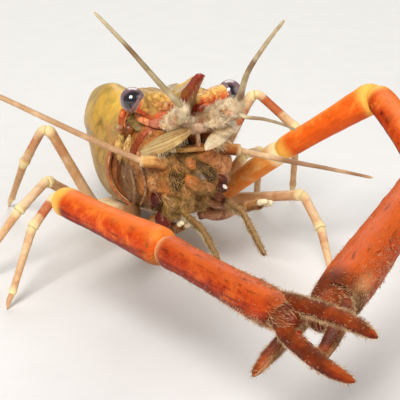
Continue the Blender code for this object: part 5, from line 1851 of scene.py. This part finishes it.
def build_claw(side_name, side, joints, palm, paint, bristle):
    """Palm drawn out into the fixed finger, and the movable finger beside it."""
    _, _, heading, rise, start_half, end_half = palm
    finger_length, opening, roll, finger_half = FINGERS[side_name]
    along = direction(heading, rise, side)
    level = (UPWARD - along * along.z).normalized()
    spread = Matrix.Rotation(math.radians(roll), 3, along) @ level
    knuckle = joints[-1]
    offset = end_half - finger_half
    angle = math.radians(opening)

    route = even_route(bend_points(*joints[-3:], ARM_BEND, 16)[8:] + [knuckle], PALM_ROWS)
    start_axis = cut_axis(joints, len(joints) - 2)
    halves = []
    for index in range(PALM_ROWS):
        t = index / (PALM_ROWS - 1)
        half = (start_half + (end_half - start_half) * t) * station_at(PALM_TAPER, t)[0]
        halves.append((half * PALM_FLATNESS, half))
    fixed_axis = along * math.cos(angle) - spread * math.sin(angle)
    # The palm's end leans over to the fixed finger's root as it narrows.
    for step in range(1, NECK_ROWS + 1):
        t = step / NECK_ROWS
        share = smoothstep(0.0, 1.0, t)
        width = end_half * 0.9 + (finger_half - end_half * 0.9) * share
        place = knuckle + along * (NECK_LENGTH * t * MM) + spread * (-offset * share * MM)
        route.append(place + (fixed_axis - along) * (NECK_LENGTH * t * MM * share))
        halves.append((width * (PALM_FLATNESS + (FINGER_FLATNESS - PALM_FLATNESS) * share), width))
    reach = finger_length - NECK_LENGTH
    base = route[-1]
    for step in range(1, FINGER_ROWS + 1):
        t = step / FINGER_ROWS
        full = (NECK_LENGTH + reach * t) / finger_length
        hook = FINGER_HOOK * (full**3 - (NECK_LENGTH / finger_length) ** 3)
        route.append(base + fixed_axis * (reach * t * MM) + spread * (hook * MM))
        half = finger_half * station_at(FINGER_TAPER, full)[0]
        halves.append((half * FINGER_FLATNESS, half))
    route[:0] = [route[0] - start_axis * (0.5 * MM), route[0] - start_axis * (0.25 * MM)]
    halves[:0] = [(halves[0][0] * 0.6,) * 2, (halves[0][0] * 0.9,) * 2]
    shape = Shape()
    shape.add_rows(
        ring_rows(route, halves, spread, 44, rough=0.03), dorsal=SHADED_FRONT_AND_UNDER,
        tone=lambda share, part: 0.7 * smoothstep(0.56, 0.68, share) - 0.14 * smoothstep(0.8, 1.0, share),
        pale=lambda share, part: smoothstep(0.09, 0.0, share) + edge_pale(part) * smoothstep(0.5, 0.7, share),
        fur=lambda share, part: edge_fur(part) * (0.1 + 0.9 * smoothstep(0.3, 0.6, share)))
    add_teeth(shape, knuckle - spread * (offset * MM), fixed_axis, spread, finger_length, finger_half,
              (8, 0.2, 0.19, 1.3), cell=(0.9, 1.0), fur=lambda share, part: 0.0)
    # Haired pad between the roots of the fingers.
    pad = (end_half * 1.5, end_half * 0.82, end_half * 0.72)
    shape.add_ball(knuckle + along * (0.2 * MM), pad, (along, spread, along.cross(spread)), cell=(0.9, 1.0),
                   sides=28, rows=18, tone=lambda share, part: 0.66, fur=lambda share, part: 0.6)
    name = f"arm_{side_name}_palm"
    piece = add_piece(name, shape, paint, "arm", name)
    grow_coat(piece, f"palm_bristles_{side_name}", "arm", bristle, "palm")

    axis = along * math.cos(angle) + spread * math.sin(angle)
    root = knuckle + spread * ((offset + 0.12) * MM) - axis * (0.4 * MM)
    shape = Shape()
    finger_skin(shape, root, axis, -spread, finger_length + 0.4, finger_half)
    name = f"arm_{side_name}_finger"
    piece = add_piece(name, shape, paint, "arm", name)
    grow_coat(piece, f"finger_bristles_{side_name}", "arm", bristle, "finger")


def knee_band(low, high, strength):
    """Tone that darkens a stretch of a limb."""
    return lambda share, part: strength * smoothstep(low - 0.06, low + 0.03, share) * smoothstep(
        high + 0.06, high - 0.03, share)


# How orange the legs are by the knee.
LEG_BLUSH = {("leg_5", "left"): 0.7, ("leg_3", "right"): 0.6}
LEG_PALES = (0.7, 0.9, 1.3)
CLAW_RUN = (0.05, 0.25, 0.45, 0.65, 0.82, 0.93, 1.0)
CLAW_HALVES = tuple((width, width) for width in (0.22, 0.29, 0.27, 0.24, 0.2, 0.15, 0.11, 0.08))


def build_walking_legs(settings):
    """Six walking legs: hip, thigh, knee piece, shank and claw."""
    paint = limb_material("leg_shell", settings.leg_main, (234, 206, 166), (190, 134, 88), (236, 214, 158),
                          (178, 78, 30), cores=0.5)
    bristle = hair_material("leg_bristle", (180, 128, 84), (224, 188, 144))
    for (leg_name, side_name), (hip_pose, thigh, knee_piece, shank) in LEG_POSES.items():
        side = SIDES[side_name]
        root = side_point(LEG_ROOTS[leg_name], side)
        joints = joint_chain(root, ((HIP, *hip_pose), thigh, knee_piece), side)
        down = direction(*shank, side)
        foot = joints[-1] + down * (joints[-1].z / -down.z)
        ankle = joints[-1].lerp(foot, 0.82)
        chain = joints + [ankle, foot]
        joints.append(foot)
        blush = LEG_BLUSH.get((leg_name, side_name), 0.35)
        shapes = {"upper": Shape(), "lower": Shape()}
        for part, route, first, widths, rows, cell, band in (
            ("upper", joints, 0, (0.85, 0.66), 26, (0.0, 0.3), None),
            ("upper", joints, 1, (0.6, 0.5), 70, (0.3, 1.0), (0.66, 0.84, blush)),
            ("lower", chain, 2, (0.46, 0.5), 40, (0.0, 0.25), (0.2, 0.6, blush)),
            ("lower", chain, 3, (0.44, 0.32), 60, (0.25, 0.85), (0.1, 0.28, 0.3)),
        ):
            looks = {"profile": SLENDER_PROFILE, "fur": tuft_fur, "tone": knee_band(*band)} if band else {}
            limb_skin(shapes[part], route, first, first + 1, widths, LEG_BEND, rows, 22, LEG_PALES,
                      cell=cell, **looks)
        bow = (foot - ankle).cross(UPWARD).cross(foot - ankle).normalized()
        claw = [ankle.lerp(foot, -0.04)] + [
            ankle.lerp(foot, t) + bow * (0.16 * math.sin(math.pi * t) * MM) for t in CLAW_RUN]
        axes = [(foot - ankle).normalized(), -UPWARD]
        shapes["lower"].add_rows(
            ring_rows(claw, CLAW_HALVES, LIMB_TOP, 16, axes), cell=(0.85, 1.0), fur=lambda share, part: 0.5,
            tone=lambda share, part: 0.4 * smoothstep(0.5, 1.0, share))
        for part, shape in shapes.items():
            name = f"{leg_name}_{side_name}_{part}"
            piece = add_piece(name, shape, paint, "leg", name)
            grow_coat(piece, f"{name}_bristles", "leg", bristle, f"{part} leg")


# Abdomen and tail.


def abdomen_frame(droop, turn):
    """Dorsal and sideways directions of a section of the abdomen."""
    tilt = math.radians(droop)
    level = Matrix.Rotation(-math.radians(turn), 3, "Z")
    return level @ Vector((0, math.sin(tilt), math.cos(tilt))), level @ Vector((1, 0, 0))


def abdomen_stations():
    """Start and end of each somite: centre, depth, half width, droop, turn."""
    front = (body_point(*ABDOMEN_ROOT, 0), *ABDOMEN_FRONT, NOSE_UP, 0.0)
    result = []
    for row, following in zip(ABDOMEN, ABDOMEN[1:] + ABDOMEN[-1:]):
        name, length, droop, turn, depth, half = row
        run = direction(180 - turn, -droop) * (length * MM)
        rear = (front[0] + run, depth, half, (droop + following[2]) / 2, (turn + following[3]) / 2)
        result.append((name, length, front, rear))
        front = rear
    return result


def between(start, end, t):
    """Station a share `t` of the way from one to the next, with its dorsal and sideways directions."""
    centre = start[0].lerp(end[0], t)
    depth, half, droop, turn = [a + (b - a) * t for a, b in zip(start[1:], end[1:])]
    return centre, depth, half, droop, turn, *abdomen_frame(droop, turn)


SOMITE_WALL = 0.2
SOMITE_OVERLAP = 0.75
SOMITE_COLUMNS = 97
SOMITE_ROWS = 44
FLESH_STEPS = 8
FLESH_SIDES = 40
# How far below level the shell's lower edges hang, degrees; the last somite's further.
LOWER_EDGE = -58.0
LAST_LOWER_EDGE = -74.0
GROUND_GAP = 0.25


def somite_rows(front, rear, low, overlap):
    """Rows of one shell ring, and the height of each of its columns."""
    angles = [math.radians(low + (180 - 2 * low) * column / (SOMITE_COLUMNS - 1))
              for column in range(SOMITE_COLUMNS)]
    rows = []
    for row in range(SOMITE_ROWS):
        s = row / (SOMITE_ROWS - 1)
        swell = 0.955 + 0.05 * smoothstep(0.0, 0.35, s) + 0.02 * smoothstep(0.8, 1.0, s)
        ring = []
        for angle in angles:
            hang = smoothstep(0.25, -0.75, math.sin(angle))
            middle = 0.5 + 0.12 * hang
            t = middle + (-0.02 + (1.02 + overlap) * s - middle) * (1 - 0.42 * hang ** 2)
            centre, depth, half, _, _, dorsal, sideways = between(front, rear, t)
            out, up = section_point(angle, half * 0.8 * swell, depth * 0.34 * swell, -depth / 2, 0.3, -0.05)
            point = centre + (sideways * out + dorsal * up) * MM
            point.z = max(point.z, GROUND_GAP * MM)
            ring.append(point)
        rows.append(ring)
    return rows, [math.sin(angle) for angle in angles]


def build_abdomen(settings):
    """Six overlapping shell rings over the soft body, and the folded swimmerets."""
    shell = shell_material("somite_shell", settings)
    flesh = plate_material("abdomen_flesh", (186, 150, 104), (214, 186, 142), (130, 88, 50), subsurface=0.3)
    stations = abdomen_stations()
    soft_rows = []
    for name, length, front, rear in stations:
        last_one = name == ABDOMEN[-1][0]
        low = LAST_LOWER_EDGE if last_one else LOWER_EDGE
        rows, heights = somite_rows(front, rear, low, 0.0 if last_one else SOMITE_OVERLAP / length)
        shape = Shape()
        shape.add_rows(rows, closed=False, dorsal=heights)
        piece = make_mesh(name, shape, shell)
        add_wall(piece, SOMITE_WALL)
        settle(piece, "shell", name)
        for step in range(FLESH_STEPS + last_one):
            centre, depth, half, _, _, dorsal, sideways = between(front, rear, step / FLESH_STEPS)
            ring = []
            for column in range(FLESH_SIDES):
                turned = 2 * math.pi * column / FLESH_SIDES
                out, up = section_point(turned, half * 0.72, depth * 0.28, -depth * 0.40, 0.2, -0.05)
                ring.append(centre + (sideways * out + dorsal * up) * MM)
            soft_rows.append(ring)
    shape = Shape()
    shape.add_rows(soft_rows)
    add_piece("abdomen_flesh", shape, flesh, "underside")
    build_swimmerets(stations, flesh)


SWIMMERET_LENGTH = 4.2
SWIMMERET_STEPS = 14


def build_swimmerets(stations, paint):
    """Five pairs of paddles folded back under the belly."""
    shape = Shape()
    for index, (_, _, front, rear) in enumerate(stations[:5]):
        centre, depth, half, droop, turn, dorsal, sideways = between(front, rear, 0.4)
        back = direction(180 - turn, -droop)
        for side, low, high in ((1, 0.1, 0.2), (-1, 0, 0.1)):
            root = centre + (sideways * (side * half * 0.5) - dorsal * (depth * 0.39)) * MM
            route = []
            halves = []
            for step in range(SWIMMERET_STEPS):
                t = step / (SWIMMERET_STEPS - 1)
                place = root + (back * (SWIMMERET_LENGTH * t) - dorsal * (0.35 * math.sin(math.pi * t))) * MM
                place.z = max(place.z, 0.45 * MM)
                route.append(place)
                halves.append((0.3 + 0.55 * math.sin(math.pi * min(1.0, 0.12 + 0.85 * t)), 0.12))
            shape.add_rows(ring_rows(route, halves, dorsal, 14), cell=(index / 5 + low, index / 5 + high))
    add_piece("swimmerets", shape, paint, "underside")


TELSON_OUTLINE = ((0.0, 1.35), (0.12, 1.6), (0.5, 1.25), (0.85, 0.8), (0.95, 0.55), (1.0, 0.12))
UROPOD_OUTLINE = ((0.0, 0.4), (0.12, 0.62), (0.4, 1.0), (0.7, 0.98), (0.88, 0.7), (0.96, 0.42), (1.0, 0.08))
TELSON_STEPS = 60


def build_tail(settings):
    """Telson over four ribbed uropods with fringed rear edges."""
    paint = fan_material("tail_plate", (176, 140, 86), (226, 204, 152), (122, 84, 44))
    fringe = hair_material("tail_fringe", (176, 130, 84), (220, 190, 140))
    centre, _, _, _, turn = abdomen_stations()[-1][-1]
    back = direction(180 - turn, 0)
    across = UPWARD.cross(back) * -1
    root = centre + UPWARD * (0.7 * MM) - back * (0.6 * MM)
    tip = root + back * ((TELSON_LENGTH + 0.7) * MM)
    tip.z = TELSON_TIP_HEIGHT * MM
    shares = [step / (TELSON_STEPS - 1) for step in range(TELSON_STEPS)]
    halves = [(station_at(TELSON_OUTLINE, t)[0], 0.75 - 0.5 * t) for t in shares]
    shape = Shape()
    shape.add_rows(ring_rows([root.lerp(tip, t) for t in shares], halves, (0, 0, 1), 36, rough=0.03),
                   fur=lambda share, part: smoothstep(0.86, 0.95, share))
    add_piece("telson", shape, paint, "plate", "telson")
    for side_name, side in SIDES.items():
        for name, *sizes in TAIL_FAN:
            start = centre + across * (side * 1.5 * MM) + back * (0.6 * MM)
            piece = build_uropod(f"{name}_{side_name}", start, 180 - turn, side, sizes, paint)
            grow_coat(piece, f"{name}_fringe_{side_name}", "plate", fringe, "tail")


def build_uropod(name, start, heading, side, sizes, paint):
    """One ribbed plate of the tail fan."""
    splay, length, half, height = sizes
    start.z = height * MM
    axis = direction(heading - side * splay, 0)
    sideways = axis.cross(UPWARD)

    def place(t, turn):
        wide = half * station_at(UROPOD_OUTLINE, t)[0]
        out = math.cos(turn)
        lift = plate_lift(turn, 0.1 + 0.12 * (1 - out * out) + 0.06 * bell(out, 0.0, 0.12))
        return start + (axis * (length * t) + sideways * (wide * out) + UPWARD * lift) * MM

    def rear_edge(share, part):
        return smoothstep(0.9, 0.98, abs(math.cos(2 * math.pi * part))) * smoothstep(0.4, 0.6, share)

    shape = Shape()
    shape.add_rows(grid(*PLATE_GRID, place), fur=rear_edge)
    for index, point in enumerate(shape.points):
        if shape.fur[index] > 0:
            out = (point - start).dot(sideways)
            shape.flow[index] = (axis + sideways * math.copysign(0.5, out)).normalized()
    return add_piece(name, shape, paint, "plate", name)


# Stage.

CAMERA_PLACE = (-35.1, -130.2, 55.9)
CAMERA_AZIMUTH = -16.0
CAMERA_ELEVATION = 20.0
CAMERA_LENS = 132.3
FLOOR_HALF = 3
# Light: place from the head's middle, size, energy.
LIGHTS = {
    "key": ((-0.22, -0.34, 0.36), 0.2, 3.1),
    "fill": ((0.36, -0.28, 0.2), 0.4, 0.55),
    "rim": ((0.1, 0.4, 0.34), 0.35, 1.2),
}


def aim_object(made, place, back):
    """Put a light or the camera in its place, its back towards `back`."""
    made.location = place
    made.rotation_mode = "QUATERNION"
    made.rotation_quaternion = back.to_track_quat("Z", "Y")


def build_stage(settings):
    """Pale floor, soft lights and the camera."""
    mesh = bpy.data.meshes.new("floor")
    corners = [(x * FLOOR_HALF, y * FLOOR_HALF, 0) for x, y in ((-1, -1), (1, -1), (1, 1), (-1, 1))]
    mesh.from_pydata(corners, [], [(0, 1, 2, 3)])
    material = bpy.data.materials.new("floor_paper")
    material.use_nodes = True
    graph = Graph(material.node_tree)
    grain = graph.noise(graph.place(), 260.0, 4.0, 0.6)
    graph.feed(material.node_tree.nodes["Principled BSDF"], {
        "Base Color": graph.mix(grain, (226, 224, 220), (234, 232, 228)), "Roughness": 0.7})
    mesh.materials.append(material)
    add_object("floor", mesh)

    scene = bpy.context.scene
    scene.world = bpy.data.worlds.new("studio")
    scene.world.use_nodes = True
    sky = scene.world.node_tree
    Nodes(sky).feed(sky.nodes["Background"], {"Color": (1.0, 0.98, 0.95, 1.0), "Strength": 0.24})
    scene.view_settings.view_transform = "Standard"

    focus = body_point(2, -4, 0)
    for name, (place, size, energy) in LIGHTS.items():
        light = bpy.data.lights.new(name, "AREA")
        light.size = size
        light.energy = energy
        lamp = add_object(name, light)
        place = Vector(place) + focus
        aim_object(lamp, place, place - focus)

    camera = bpy.data.cameras.new("camera")
    camera.lens = CAMERA_LENS
    camera.sensor_width = 36.0
    camera.clip_start = 0.005
    camera.clip_end = 10.0
    scene.camera = add_object("camera", camera)
    shift = ORIGIN - Vector((0, 0, SOCKET_HEIGHT * MM))
    aim_object(scene.camera, Vector(CAMERA_PLACE) * MM + shift, direction(CAMERA_AZIMUTH, CAMERA_ELEVATION))


# Settings, operators and panel.


COLOURS = {
    "shell_main": ("Shell", "Main colour of the carapace and somites", (190, 146, 64)),
    "shell_pale": ("Shell Pale", "Paler patches of the shell", (226, 180, 72)),
    "shell_dark": ("Shell Dark", "Darker patches and specks of the shell", (122, 88, 40)),
    "rim": ("Rim", "Line along the carapace's front edge", (176, 96, 40)),
    "rostrum_red": ("Rostrum", "Side of the rostrum", (138, 36, 5)),
    "arm_main": ("Arm", "Main colour of the great arms", (202, 64, 8)),
    # The arm edge colour is also painted light on the arms' top side; the arm core colour is partly pigment
    # and partly painted shade along their front and under side.
    "arm_edge": ("Arm Edge", "Paler edges and underside of the arms", (238, 120, 40)),
    "arm_core": ("Arm Core", "Deep band along the front of the arms", (112, 18, 2)),
    "joint_cream": ("Joint", "Pale skin by the arms' joints", (248, 186, 82)),
    "leg_main": ("Leg", "Main colour of the walking legs", (214, 172, 126)),
}


class PrawnSettings(bpy.types.PropertyGroup):
    """Colours and small sizes that a user would change."""

    __annotations__ = {
        key: FloatVectorProperty(name=label, description=described, subtype="COLOR", default=linear(*colour))
        for key, (label, described, colour) in COLOURS.items()}
    __annotations__["ring_pitch"] = FloatProperty(
        name="Ring Pitch", description="Length of one joint of a feeler, millimetres",
        default=0.22, min=0.15, max=1.0)


class PrawnOperator:
    """What every piece's operator shares."""

    bl_options = {"REGISTER", "UNDO"}
    build = None

    def execute(self, context):
        type(self).build(context.scene.prawn)
        return {"FINISHED"}


def piece_operator(builder):
    """Operator class that runs one builder, named and described as the builder is."""
    name = builder.__name__.removeprefix("build_")
    return type(f"PRAWN_OT_{name}", (PrawnOperator, bpy.types.Operator), {
        "bl_idname": f"prawn.{name}", "bl_label": name.replace("_", " ").title(),
        "bl_description": builder.__doc__, "build": staticmethod(builder)})


OPERATORS = tuple(piece_operator(builder) for builder in (
    build_stage, build_carapace, build_head, build_underside, build_rostrum, build_eyes, build_antennules,
    build_antennae, build_mouth_limbs, build_arms, build_walking_legs, build_abdomen, build_tail))


class PRAWN_PT_panel(bpy.types.Panel):
    """Lists the prawn's pieces and colours."""

    bl_label = "Prawn"
    bl_space_type = "VIEW_3D"
    bl_region_type = "UI"
    bl_category = "Prawn"

    def draw(self, context):
        for key in PrawnSettings.__annotations__:
            self.layout.prop(context.scene.prawn, key)
        for kind in OPERATORS:
            self.layout.operator(kind.bl_idname)


CLASSES = (PrawnSettings, *OPERATORS, PRAWN_PT_panel)


def register():
    for kind in CLASSES:
        bpy.utils.register_class(kind)
    bpy.types.Scene.prawn = PointerProperty(type=PrawnSettings)


def unregister():
    del bpy.types.Scene.prawn
    for kind in reversed(CLASSES):
        bpy.utils.unregister_class(kind)


def main():
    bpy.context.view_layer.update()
    register()
    for kind in OPERATORS:
        getattr(bpy.ops.prawn, kind.bl_idname.split(".")[1])()
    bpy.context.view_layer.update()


if __name__ == "__main__":
    main()
